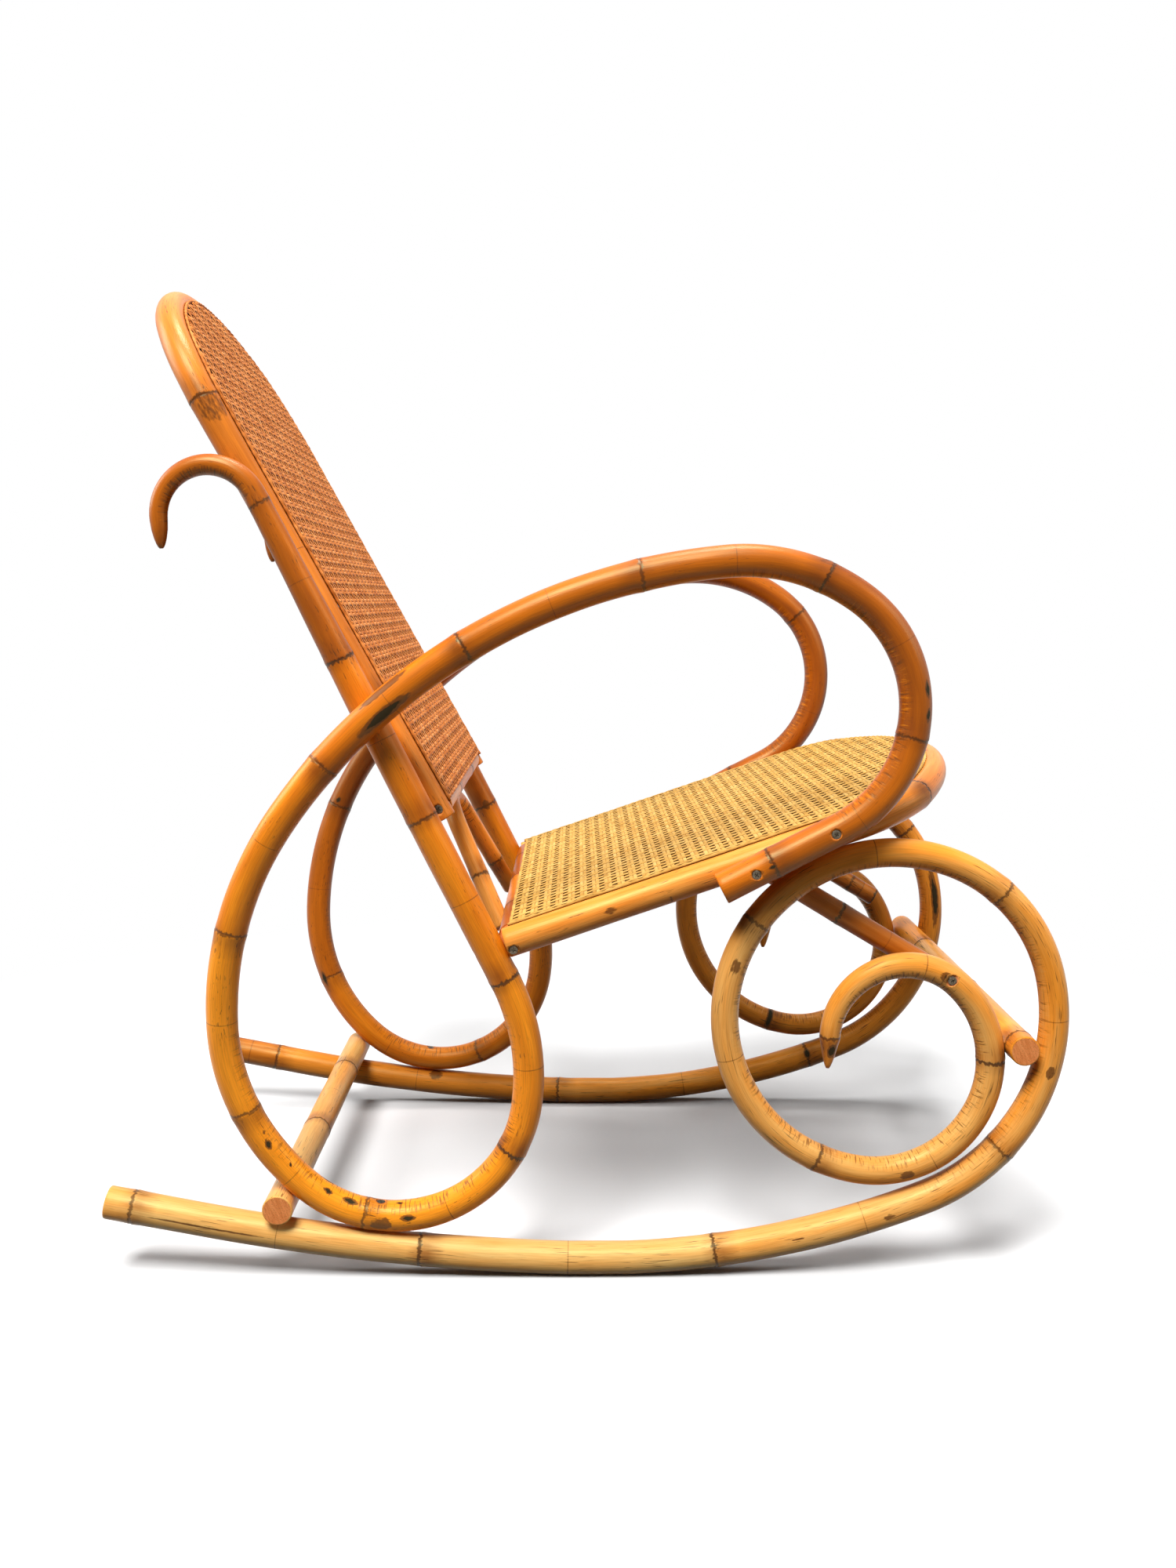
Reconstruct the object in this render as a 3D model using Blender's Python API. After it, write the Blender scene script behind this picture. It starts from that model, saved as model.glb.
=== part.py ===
"""Rocking chair of bent cane poles, with a woven cane seat and back.

X is forward, Y is the sitter's left and Z is up. The rockers stand on Z = 0.
Each pole is bent like a bench worker's bending list: straights and arcs, end to end.
"""
import math

import bmesh
import bpy
from mathutils import Vector

# Fits between touching pieces
CLEARANCE = 0.0004
RING_SIDE_GAP = 0.0010
RING_OVER_RUNNER = 0.0035

# Pole diameters
ARM_POLE = 0.034
HOOK_NECK = 0.024
HOOK_TIP = 0.013
ROCKER_POLE = 0.036
RING_POLE = 0.031
CURL_TIP = 0.014
SEAT_POLE = 0.033
REAR_RAIL = 0.030
CROSS_RAIL = 0.026
BACK_POLE = 0.032
BOTTOM_RAIL = 0.024
HOOP_POLE = 0.022
FRONT_STRETCHER = 0.033
REAR_STRETCHER = 0.034
STRUT_POLE = 0.025
BEAD = 0.006
PANEL_THICKNESS = 0.004

# Openwork of the woven panels, as a coarse grid: openings across, and the open share of a pitch
WEAVE_ACROSS = 12
WEAVE_OPEN = 0.45

# From the middle of the chair to a rocker's centreline, and how far the stretchers stick out
HALF_WIDTH = 0.265
STRETCHER_PAST = 0.005

# Rocker pole: level spot under the balance point, runner and tail, then ring and curl
REST_FLAT = 0.062
RUNNER_RADIUS = 0.985
RUNNER_SWEEP = 21.8
TAIL_RADIUS = 2.500
TAIL_SWEEP = 9.5
TAIL_STRAIGHT = 0.106
ENTRY_SWEEP = 82.5
RING_RADIUS = 0.181
RING_SWEEP = 246.0
CURL_SWEEP = 146.0
CURL_END_RADIUS = 0.083
CURL_END_SWEEP = 131.0
CURL_STRAIGHT = 0.039
STRETCHER_ANGLE = -8.2

# Arm pole: rear loop, upright and hook one way, rear bends, arm and arm end the other way
LOOP_BACK = 0.226
LOOP_RADIUS = 0.149
RECLINE = 26.2
UPRIGHT_BOW = 34.7
BOW_RADIUS = 0.245
UPRIGHT_STRAIGHT = 0.581
UPRIGHT_FULL = 0.330
HOOK_RADIUS = 0.053
HOOK_SWEEP = 157.0
HOOK_STRAIGHT = 0.031
LOOP_BACK_SWEEP = 42.0
REAR_LOWER_RADIUS = 0.247
REAR_LOWER_SWEEP = 49.3
REAR_UPPER_RADIUS = 0.412
REAR_UPPER_SWEEP = 34.2
ARM_RADIUS = 0.638
ARM_SWEEP = 49.5
SHOULDER_RADIUS = 0.207
SHOULDER_SWEEP = 40.6
ARM_END_ANGLE = 8.5
ARM_CROSSES_BEHIND_RING = 0.055
ARM_END_PAST = 0.078

# Seat frame and struts
SEAT_TILT = 18.9
SEAT_STRAIGHT = 0.392
SEAT_CORNER = 0.108
CORNER_SWEEP = 60.0
CROSS_RAIL_FORWARD = 0.185
STRUT_BEHIND_RING = 0.097
STRUT_ABOVE_AXIS = 0.004
STRUT_MEETS_CURL = 42.0
STRUT_PAST = 0.008

# Back frame and hoop
BACK_LEAN = 2.4
BACK_PIVOT = 0.520
BACK_FOOT = 0.185
BOTTOM_RAIL_UP = 0.013
BACK_STRAIGHT = 0.495
BACK_CORNER = 0.145
HOOP_RADIUS = 0.065
HOOP_SWEEP = 65.0
HOOP_PAST = 0.014

# Screws, and where they go in
SCREW_HEAD = 0.0095
SCREW_SHANK = 0.0040
SCREW_CONE = 0.0026
SCREW_RIM = 0.0006
SCREW_SINK = 0.0010
SCREW_REACH = 0.014
SCREW_FIT = 0.0003
ARM_SCREW_AHEAD = 0.055
ARM_SCREW_BEHIND = 0.038
CORNER_SCREW_DROP = 0.007
RING_SCREW_AHEAD = 0.022
CURL_SCREW_ANGLE = 53.0
LOW_BACK_SCREW_UP = 0.060
HIGH_BACK_SCREW_UP = 0.300
STRUT_SCREW_IN = 0.012

# Facets: sides of a pole, a bead and a screw, and the longest and sharpest step round a bend
POLE_SIDES = 12
BEAD_SIDES = 6
SCREW_SIDES = 8
STEP_LENGTH = 0.055
STEP_TURN = 10.0

COLOURS = {
    "arm_cane": (0.50, 0.24, 0.08),
    "rocker_cane": (0.60, 0.34, 0.12),
    "frame_cane": (0.52, 0.27, 0.10),
    "woven_back": (0.48, 0.24, 0.08),
    "woven_seat": (0.60, 0.38, 0.14),
    "screw_steel": (0.30, 0.28, 0.26),
}
SIDES = {"right": -1.0, "left": 1.0}
Y_AXIS = Vector((0.0, 1.0, 0.0))


def flat(angle):
    """Unit vector in the side plane, as (x, z), at an angle above forward."""
    return Vector((math.cos(math.radians(angle)), math.sin(math.radians(angle))))


def at_y(point, y):
    """A side-plane point (x, z) at a given y."""
    return Vector((point[0], y, point[1]))


class Walk:
    """Centreline of a bent pole in the side plane, walked bend by bend."""

    def __init__(self, start, heading, diameter=0.0, y=0.0):
        self.points = [Vector(start)]
        self.sides = [y]
        self.diameters = [diameter]
        self.heading = heading

    def _add(self, places, diameter):
        first = self.diameters[-1]
        last = first if diameter is None else diameter
        for i, place in enumerate(places):
            self.points.append(place)
            self.sides.append(self.sides[-1])
            self.diameters.append(first + (last - first) * (i + 1) / len(places))

    def straight(self, length, diameter=None):
        self._add([self.points[-1] + flat(self.heading) * length], diameter)

    def arc(self, radius, sweep, diameter=None):
        """Turn left for a positive sweep and right for a negative one; gives the centre."""
        hand = math.copysign(1.0, sweep)
        centre = self.points[-1] + flat(self.heading + 90.0 * hand) * radius
        turn = min(STEP_TURN, math.degrees(STEP_LENGTH / radius))
        steps = max(2, math.ceil(abs(sweep) / turn))
        spoke = self.heading - 90.0 * hand
        turns = [spoke + sweep * (i + 1) / steps for i in range(steps)]
        self._add([centre + flat(angle) * radius for angle in turns], diameter)
        self.heading += sweep
        return centre

    def drift(self, since, y):
        """Ease sideways to y between an earlier point, by its number, and the last one."""
        first = self.sides[since]
        run = [0.0]
        for before, after in zip(self.points[since:], self.points[since + 1:]):
            run.append(run[-1] + (after - before).length)
        for i, gone in enumerate(run):
            share = gone / run[-1]
            self.sides[since + i] = first + (y - first) * share * share * (3.0 - 2.0 * share)

    def line(self, side):
        """Points in space, with y mirrored for the side."""
        return [at_y(p, y * side) for p, y in zip(self.points, self.sides)]


def joined(back, front):
    """One walk from the far end of one to the far end of the other; both start together."""
    whole = Walk(back.points[-1], front.heading, back.diameters[-1], back.sides[-1])
    whole.points = back.points[::-1] + front.points[1:]
    whole.sides = back.sides[::-1] + front.sides[1:]
    whole.diameters = back.diameters[::-1] + front.diameters[1:]
    return whole


def material(name):
    made = bpy.data.materials.get(name)
    if made is None:
        made = bpy.data.materials.new(name)
        made.use_nodes = True
        shader = made.node_tree.nodes["Principled BSDF"]
        shader.inputs["Base Color"].default_value = (*COLOURS[name], 1.0)
        shader.inputs["Metallic"].default_value = 1.0 if name == "screw_steel" else 0.0
        shader.inputs["Roughness"].default_value = 0.45
    return made


def solid(name, mesh_maker, finish):
    """A named object from a bmesh, with its faces turned out."""
    bmesh.ops.recalc_face_normals(mesh_maker, faces=mesh_maker.faces)
    mesh = bpy.data.meshes.new(name)
    mesh_maker.to_mesh(mesh)
    mesh_maker.free()
    mesh.materials.append(material(finish))
    made = bpy.data.objects.new(name, mesh)
    bpy.context.collection.objects.link(made)
    return made


def add_rings(shape, rings):
    """Skin a list of vertex rings and cap both ends."""
    loops = [[shape.verts.new(v) for v in ring] for ring in rings]
    for before, after in zip(loops, loops[1:]):
        for i in range(len(before)):
            j = (i + 1) % len(before)
            shape.faces.new((before[i], before[j], after[j], after[i]))
    shape.faces.new(loops[0][::-1])
    shape.faces.new(loops[-1])


def ring(centre, along, across, radius, sides):
    """Circle of points square to a direction, the first one on the across axis."""
    first = (across - along * across.dot(along)).normalized()
    second = along.cross(first)
    turns = [2.0 * math.pi * i / sides for i in range(sides)]
    return [centre + (first * math.cos(a) + second * math.sin(a)) * radius for a in turns]


def pole(name, line, diameters, across, finish, sides=POLE_SIDES, round_tip=False):
    """A round pole along a line of points, cut square at its ends or rounded at its last."""
    rings = []
    for i, point in enumerate(line):
        along = (line[min(i + 1, len(line) - 1)] - line[max(i - 1, 0)]).normalized()
        rings.append(ring(point, along, across, diameters[i] / 2, sides))
    if round_tip:
        along = (line[-1] - line[-2]).normalized()
        tip = diameters[-1] / 2
        for angle in (40.0, 70.0):
            out = line[-1] + along * tip * math.sin(math.radians(angle))
            rings.append(ring(out, along, across, tip * math.cos(math.radians(angle)), sides))
    shape = bmesh.new()
    add_rings(shape, rings)
    return solid(name, shape, finish)


def bar(name, middle, half_length, diameter, across, finish):
    """A straight pole from side to side of the chair, through a side-plane point."""
    ends = [at_y(middle, -half_length), at_y(middle, half_length)]
    return pole(name, ends, [diameter] * 2, across, finish)


def plate(name, outline, normal, finish):
    """A flat sheet: an outline of points, thickened along the normal."""
    shape = bmesh.new()
    add_rings(shape, [outline, [p + normal * PANEL_THICKNESS for p in outline]])
    return solid(name, shape, finish)


def cut_out(piece, shape):
    """Cut a form out of a piece with a Boolean."""
    cutter = solid("cut_" + piece, shape, "screw_steel")
    cutter.hide_render = True
    cutter.display_type = "WIRE"
    hole = bpy.data.objects[piece].modifiers.new("cut", "BOOLEAN")
    hole.operation = "DIFFERENCE"
    hole.solver = "EXACT"
    hole.object = cutter


# Where the poles run: worked out once for a side, from the driving sizes

def rocker_walks(low):
    """A rocker pole from the tail to the curl's tip, with the places that other pieces take from it."""
    start = (low, ROCKER_POLE / 2)
    level_turn = math.degrees(math.asin(REST_FLAT / 2 / RUNNER_RADIUS))
    tail = Walk(start, 180.0, ROCKER_POLE, HALF_WIDTH)
    tail.straight(REST_FLAT / 2)
    tail.heading -= level_turn
    tail_centre = tail.arc(TAIL_RADIUS, -TAIL_SWEEP)
    tail.straight(TAIL_STRAIGHT)
    nose = Walk(start, 0.0, ROCKER_POLE, HALF_WIDTH)
    nose.straight(REST_FLAT / 2)
    nose.heading += level_turn
    nose.arc(RUNNER_RADIUS, RUNNER_SWEEP - level_turn)
    entry_radius = RING_RADIUS + ROCKER_POLE / 2 + RING_POLE / 2 + RING_OVER_RUNNER
    entry_centre = nose.arc(entry_radius, ENTRY_SWEEP, RING_POLE)
    ring_centre = nose.arc(RING_RADIUS, RING_SWEEP)

    # The front stretcher is wedged between the ring and the curl, which sets the curl's radius
    toward_bar = flat(STRETCHER_ANGLE)
    reach = entry_radius - ROCKER_POLE / 2 - RING_SIDE_GAP - FRONT_STRETCHER / 2
    front_bar = entry_centre + toward_bar * reach
    spoke = flat(nose.heading - 90.0)
    apart = RING_POLE / 2 + FRONT_STRETCHER / 2 + CLEARANCE
    offset = front_bar - ring_centre - spoke * RING_RADIUS
    curl_radius = (offset.dot(offset) - apart * apart) / (2.0 * (apart - offset.dot(spoke)))
    curl_centre = nose.arc(curl_radius, CURL_SWEEP)
    nose.arc(CURL_END_RADIUS, CURL_END_SWEEP, (RING_POLE + CURL_TIP) / 2)
    nose.straight(CURL_STRAIGHT, CURL_TIP)
    places = {
        "tail_centre": tail_centre,
        "ring_centre": ring_centre,
        "front_bar": front_bar,
        "bar_on_ring": entry_centre + toward_bar * entry_radius,
        "strut_end": curl_centre + flat(STRUT_MEETS_CURL) * curl_radius,
        "curl_screw": curl_centre + flat(CURL_SCREW_ANGLE) * curl_radius,
    }
    return joined(tail, nose), places


def reach_x(walk):
    """How far a walk's pole reaches back and forward."""
    line = walk.points
    back, front = [], []
    for i, point in enumerate(line):
        along = (line[min(i + 1, len(line) - 1)] - line[max(i - 1, 0)]).normalized()
        half = abs(along[1]) * walk.diameters[i] / 2
        back.append(point[0] - half)
        front.append(point[0] + half)
    return min(back), max(front)


def arm_walk(low, tail_centre, crossing):
    """The arm pole from its end beside the seat rail to its hook, with its arc centres."""
    inside = TAIL_RADIUS - ROCKER_POLE / 2 - CLEARANCE - ARM_POLE / 2 - LOOP_RADIUS
    loop_x = low - LOOP_BACK
    drop = math.sqrt(inside ** 2 - (loop_x - tail_centre[0]) ** 2)
    loop_centre = Vector((loop_x, tail_centre[1] - drop))
    start = loop_centre - Vector((0.0, LOOP_RADIUS))

    up = Walk(start, 0.0, ARM_POLE, HALF_WIDTH)
    up.arc(LOOP_RADIUS, 90.0 + RECLINE - UPRIGHT_BOW)
    up.arc(BOW_RADIUS, UPRIGHT_BOW)
    foot = up.points[-1]
    up.straight(UPRIGHT_FULL)
    up.straight(UPRIGHT_STRAIGHT - UPRIGHT_FULL, HOOK_NECK)
    up.arc(HOOK_RADIUS, HOOK_SWEEP, (HOOK_NECK + HOOK_TIP) / 2)
    up.straight(HOOK_STRAIGHT, HOOK_TIP)

    over = Walk(start, 180.0, ARM_POLE, HALF_WIDTH)
    over.arc(LOOP_RADIUS, -LOOP_BACK_SWEEP)
    bends_out = len(over.points) - 1
    lower_centre = over.arc(REAR_LOWER_RADIUS, -REAR_LOWER_SWEEP)
    over.arc(REAR_UPPER_RADIUS, -REAR_UPPER_SWEEP)
    over.drift(bends_out, HALF_WIDTH + ARM_POLE + CLEARANCE)
    over.arc(ARM_RADIUS, -ARM_SWEEP)
    bends_in = len(over.points) - 1
    over.arc(SHOULDER_RADIUS, -SHOULDER_SWEEP)
    over.drift(bends_in, HALF_WIDTH + ARM_POLE / 2 + SEAT_POLE / 2 + CLEARANCE)

    # The last bend's radius brings the arm down beside the seat rail
    end_angle = SEAT_TILT + ARM_END_ANGLE
    above = flat(end_angle + 90.0)
    inward = flat(over.heading - 90.0)
    radius = (over.points[-1] - crossing).dot(above) / (1.0 - inward.dot(above))
    over.arc(radius, end_angle - 180.0 - over.heading)
    over.straight((over.points[-1] - crossing).dot(flat(end_angle)) + ARM_END_PAST)
    return joined(over, up), up, foot, loop_centre, lower_centre


def bent_u(straight, half_width, corner):
    """Outline of a U as (ahead, y): up one leg, round a corner, across the crown and back."""
    leg = Walk((0.0, half_width), 0.0)
    leg.straight(straight)
    leg.arc(corner, -CORNER_SWEEP)
    bend = 1.0 - math.cos(math.radians(CORNER_SWEEP))
    crown = (half_width - corner * bend) / math.cos(math.radians(CORNER_SWEEP))
    leg.arc(crown, CORNER_SWEEP - 90.0)
    half = leg.points
    return half + [Vector((p[0], -p[1])) for p in half[-2::-1]]


def lay(outline, origin, ahead, normal, height):
    """Put an (ahead, y) outline into space on a slanted plane, raised along its normal."""
    base = origin + normal * height
    return [at_y(base + ahead * p[0], p[1]) for p in outline]


def inset(outline, distance):
    """Move an open outline's points sideways, towards the inside of its U."""
    moved = []
    for i, point in enumerate(outline):
        run = outline[min(i + 1, len(outline) - 1)] - outline[max(i - 1, 0)]
        run.normalize()
        moved.append(point + Vector((run[1], -run[0])) * distance)
    return moved


def reach_ahead(outline, y):
    """How far ahead a U's outline goes at a distance from the middle."""
    reach = 0.0
    for before, after in zip(outline, outline[1:]):
        if after[1] <= y < before[1]:
            share = (y - before[1]) / (after[1] - before[1])
            reach = max(reach, before[0] + (after[0] - before[0]) * share)
    return reach


def openwork(panel, outline, origin, ahead, normal, height):
    """Cut a grid of square openings through a woven panel, clear of its edge."""
    half_width = outline[0][1]
    pitch = 2.0 * half_width / WEAVE_ACROSS
    half = pitch * WEAVE_OPEN / 2
    shape = bmesh.new()
    for column in range(WEAVE_ACROSS):
        y = (column + 0.5) * pitch - half_width
        rows = int(reach_ahead(outline, abs(y) + half) / pitch)
        for row in range(rows):
            a = (row + 0.5) * pitch
            square = ((a - half, y - half), (a + half, y - half), (a + half, y + half), (a - half, y + half))
            below = lay(square, origin, ahead, normal, height - PANEL_THICKNESS)
            above = lay(square, origin, ahead, normal, height + 2.0 * PANEL_THICKNESS)
            add_rings(shape, [below, above])
    cut_out(panel, shape)


def circle_corner(first, first_radius, second, second_radius):
    """The point at given distances from two centres, to the left of the way between them."""
    between = second - first
    span = between.length
    share = (span ** 2 + first_radius ** 2 - second_radius ** 2) / (2.0 * span)
    out = math.sqrt(first_radius ** 2 - share ** 2)
    toward = between / span
    return first + toward * share + Vector((-toward[1], toward[0])) * out


def half_chord(radius, offset):
    """Half the width of a round pole at a distance from its middle."""
    return math.sqrt(radius ** 2 - offset ** 2)


# Screws

cuts = {}


def turned(shape, profile, head, into):
    """A turned form: (radius, depth) rings down from a head point."""
    across = into.orthogonal()
    add_rings(shape, [ring(head + into * d, into, across, r, SCREW_SIDES) for r, d in profile])


def screw_profile(length, fit, above):
    head = SCREW_HEAD / 2 + fit
    shank = SCREW_SHANK / 2 + fit
    rim = SCREW_RIM + fit
    return [(head, -above), (head, rim), (shank, SCREW_CONE + fit), (shank, length + fit)]


def fasten(name, through, into_piece, middle, into, radius):
    """A countersunk screw across one pole and into the next, with its hole in both."""
    into = into.normalized()
    head = middle - into * (radius - SCREW_SINK)
    length = 2 * radius - SCREW_SINK + SCREW_REACH
    shape = bmesh.new()
    turned(shape, screw_profile(length, 0.0, 0.0), head, into)
    solid(name, shape, "screw_steel")
    hole = (screw_profile(length, SCREW_FIT, radius), head, into)
    for piece in (through, into_piece):
        cuts.setdefault(piece, []).append(hole)


def cut_screw_holes():
    for piece, holes in cuts.items():
        shape = bmesh.new()
        for profile, head, into in holes:
            turned(shape, profile, head, into)
        cut_out(piece, shape)


def build():
    for old in list(bpy.data.objects):
        bpy.data.objects.remove(old, do_unlink=True)

    # The rockers first: they are centred on X = 0 and place everything else
    back_end, front_end = reach_x(rocker_walks(0.0)[0])
    low = -(back_end + front_end) / 2
    rocker, places = rocker_walks(low)
    tail_centre = places["tail_centre"]
    front_bar = places["front_bar"]

    # The seat's line lies on the rings, and the arm poles end beside it
    along = flat(SEAT_TILT)
    normal = flat(SEAT_TILT + 90.0)
    lift = RING_RADIUS + RING_POLE / 2 + SEAT_POLE / 2 + CLEARANCE
    on_ring = places["ring_centre"] + normal * lift
    crossing = on_ring - along * ARM_CROSSES_BEHIND_RING
    arm, up, foot, loop_centre, lower_centre = arm_walk(low, tail_centre, crossing)
    upright = flat(90.0 + RECLINE)
    ahead = flat(RECLINE)
    for side, sign in SIDES.items():
        line = rocker.line(sign)
        pole("rocker_pole_" + side, line, rocker.diameters, Y_AXIS, "rocker_cane", round_tip=True)
        line = arm.line(sign)
        pole("arm_pole_" + side, line, arm.diameters, Y_AXIS, "arm_cane", round_tip=True)

    # Seat frame: its rails butt against the uprights
    seat_meets = foot + upright * ((on_ring - foot).dot(normal) / upright.dot(normal))
    lean = math.radians(abs(RECLINE - SEAT_TILT))
    butt = ARM_POLE / 2 / math.cos(lean) + SEAT_POLE / 2 * math.tan(lean) + CLEARANCE
    seat_start = seat_meets + along * butt
    seat_normal = at_y(normal, 0.0)
    seat_line = lay(bent_u(SEAT_STRAIGHT, HALF_WIDTH, SEAT_CORNER), seat_start, along, normal, 0.0)
    pole("seat_frame", seat_line, [SEAT_POLE] * len(seat_line), seat_normal, "frame_cane")

    # Rails of the seat: the rear one touches the hoop behind it, and both carry the panel
    rail_half = HALF_WIDTH - SEAT_POLE / 2 - CLEARANCE
    raised_start = seat_start + normal * (SEAT_POLE / 2 - REAR_RAIL / 2)
    behind = HOOP_POLE / 2 + REAR_RAIL / 2 + CLEARANCE
    rear_in = (behind - (raised_start - foot).dot(ahead)) / along.dot(ahead)
    rear_rail = raised_start + along * rear_in
    bar("seat_rear_rail", rear_rail, rail_half, REAR_RAIL, at_y(ahead, 0.0), "frame_cane")
    cross_rail = seat_start + along * CROSS_RAIL_FORWARD + normal * (SEAT_POLE / 2 - CROSS_RAIL / 2)
    bar("seat_cross_rail", cross_rail, rail_half, CROSS_RAIL, seat_normal, "frame_cane")

    # Seat panel, inside the bead that lies along the frame
    panel_in = BEAD + CLEARANCE
    seat_u = bent_u(SEAT_STRAIGHT - rear_in, HALF_WIDTH, SEAT_CORNER)
    panel_start = seat_start + along * rear_in
    panel_lift = SEAT_POLE / 2 + CLEARANCE
    seat_inner = inset(seat_u, panel_in)
    seat_edge = lay(seat_inner, panel_start, along, normal, panel_lift)
    plate("seat_panel", seat_edge, seat_normal, "woven_seat")
    openwork("seat_panel", seat_inner, panel_start, along, normal, panel_lift)
    seat_bead = lay(inset(seat_u, BEAD / 2), panel_start, along, normal, panel_lift + BEAD / 2)
    pole("seat_bead", seat_bead, [BEAD] * len(seat_bead), seat_normal, "woven_seat", BEAD_SIDES)

    # Back frame: inside the uprights, leaning a little further back than they do
    back_up = flat(90.0 + RECLINE + BACK_LEAN)
    back_ahead = flat(RECLINE + BACK_LEAN)
    back_normal = at_y(back_ahead, 0.0)
    back_start = foot + upright * BACK_PIVOT - back_up * (BACK_PIVOT - BACK_FOOT)
    aside = 0.0
    for point, diameter in zip(up.points, up.diameters):
        rise = (point - back_start).dot(back_up)
        if 0.0 <= rise <= BACK_PIVOT:
            touch = diameter / 2 + BACK_POLE / 2 + CLEARANCE
            apart = min(abs((point - back_start).dot(back_ahead)), touch)
            aside = max(aside, half_chord(touch, apart))
    back_half = HALF_WIDTH - aside
    back_line = lay(bent_u(BACK_STRAIGHT, back_half, BACK_CORNER), back_start, back_up, back_ahead, 0.0)
    pole("back_frame", back_line, [BACK_POLE] * len(back_line), back_normal, "frame_cane")

    # Bottom rail, panel and bead of the back
    rail_raise = BACK_POLE / 2 - BOTTOM_RAIL / 2
    bottom_rail = back_start + back_up * BOTTOM_RAIL_UP + back_ahead * rail_raise
    bottom_half = back_half - BACK_POLE / 2 - CLEARANCE
    bar("back_bottom_rail", bottom_rail, bottom_half, BOTTOM_RAIL, back_normal, "frame_cane")
    back_u = bent_u(BACK_STRAIGHT - BOTTOM_RAIL_UP, back_half, BACK_CORNER)
    back_from = back_start + back_up * BOTTOM_RAIL_UP
    back_lift = BACK_POLE / 2 + CLEARANCE
    back_inner = inset(back_u, panel_in)
    back_edge = lay(back_inner, back_from, back_up, back_ahead, back_lift)
    plate("back_panel", back_edge, back_normal, "woven_back")
    openwork("back_panel", back_inner, back_from, back_up, back_ahead, back_lift)
    back_bead = lay(inset(back_u, BEAD / 2), back_from, back_up, back_ahead, back_lift + BEAD / 2)
    pole("back_bead", back_bead, [BEAD] * len(back_bead), back_normal, "woven_back", BEAD_SIDES)

    # Hoop: stands in the uprights' plane, under the bottom rail and behind the seat's rear rail
    rail_off = (bottom_rail - foot).dot(ahead)
    hoop_touch = BOTTOM_RAIL / 2 + HOOP_POLE / 2 + CLEARANCE
    hoop_top = (bottom_rail - foot).dot(upright) - half_chord(hoop_touch, rail_off)
    rail_rise = (rear_rail - foot).dot(upright)
    splay = math.radians(HOOP_SWEEP)
    leg_drop = hoop_top - rail_rise - HOOP_RADIUS * (1.0 - math.cos(splay))
    hoop = Walk((hoop_top, 0.0), 90.0)
    hoop.arc(HOOP_RADIUS, HOOP_SWEEP)
    hoop.straight(leg_drop / math.sin(splay) + HOOP_PAST)
    hoop_u = [Vector((p[0], -p[1])) for p in hoop.points[:0:-1]] + hoop.points
    hoop_line = lay(hoop_u, foot, upright, ahead, 0.0)
    pole("back_hoop", hoop_line, [HOOP_POLE] * len(hoop_line), at_y(ahead, 0.0), "frame_cane")

    # Stretchers: the front one in its wedge, the rear one in the corner of rear bend and runner
    bar_half = HALF_WIDTH + ROCKER_POLE / 2 + STRETCHER_PAST
    bar("front_stretcher", front_bar, bar_half, FRONT_STRETCHER, seat_normal, "rocker_cane")
    from_bend = REAR_LOWER_RADIUS + ARM_POLE / 2 + REAR_STRETCHER / 2 + CLEARANCE
    from_tail = TAIL_RADIUS - ROCKER_POLE / 2 - REAR_STRETCHER / 2 - CLEARANCE
    rear_bar = circle_corner(lower_centre, from_bend, tail_centre, from_tail)
    down = (rear_bar - tail_centre).normalized()
    bar("rear_stretcher", rear_bar, bar_half, REAR_STRETCHER, at_y(down, 0.0), "rocker_cane")

    # Struts: beside the seat rails at the top and beside the curls below
    strut_y = HALF_WIDTH - SEAT_POLE / 2 - STRUT_POLE / 2 - CLEARANCE
    strut_top = on_ring - along * STRUT_BEHIND_RING + normal * STRUT_ABOVE_AXIS
    slope = (places["strut_end"] - strut_top).normalized()
    strut_end = places["strut_end"] + slope * STRUT_PAST
    for side, sign in SIDES.items():
        ends = [at_y(strut_top, strut_y * sign), at_y(strut_end, strut_y * sign)]
        pole("strut_" + side, ends, [STRUT_POLE] * 2, Y_AXIS, "frame_cane")

    # Screws that come in pairs
    arm_run = flat(SEAT_TILT + ARM_END_ANGLE)
    arm_y = HALF_WIDTH + ARM_POLE / 2 + SEAT_POLE / 2 + CLEARANCE
    ring_swing = math.degrees(math.asin(RING_SCREW_AHEAD / RING_RADIUS))
    ring_point = places["ring_centre"] + flat(SEAT_TILT + 90.0 - ring_swing) * RING_RADIUS
    loop_down = (loop_centre - tail_centre).normalized()
    leg_y = HOOP_RADIUS * math.sin(splay) + leg_drop / math.tan(splay)
    for side, sign in SIDES.items():
        inward = Y_AXIS * -sign
        arm_pole = "arm_pole_" + side
        rocker_pole = "rocker_pole_" + side
        strut = "strut_" + side
        for where, shift in (("front", ARM_SCREW_AHEAD), ("rear", -ARM_SCREW_BEHIND)):
            spot = at_y(crossing + arm_run * shift, arm_y * sign)
            fasten("arm_screw_%s_%s" % (where, side), arm_pole, "seat_frame", spot, inward, ARM_POLE / 2)
        spot = at_y(panel_start - normal * CORNER_SCREW_DROP, HALF_WIDTH * sign)
        across = half_chord(SEAT_POLE / 2, CORNER_SCREW_DROP)
        fasten("seat_corner_screw_" + side, "seat_frame", "seat_rear_rail", spot, inward, across)
        spot = at_y(seat_meets, HALF_WIDTH * sign)
        fasten("upright_screw_" + side, arm_pole, "seat_frame", spot, at_y(along, 0.0), ARM_POLE / 2)
        spot = at_y(ring_point, HALF_WIDTH * sign)
        fasten("ring_screw_" + side, rocker_pole, "seat_frame", spot, seat_normal, RING_POLE / 2)
        spot = at_y(places["curl_screw"], HALF_WIDTH * sign)
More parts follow.
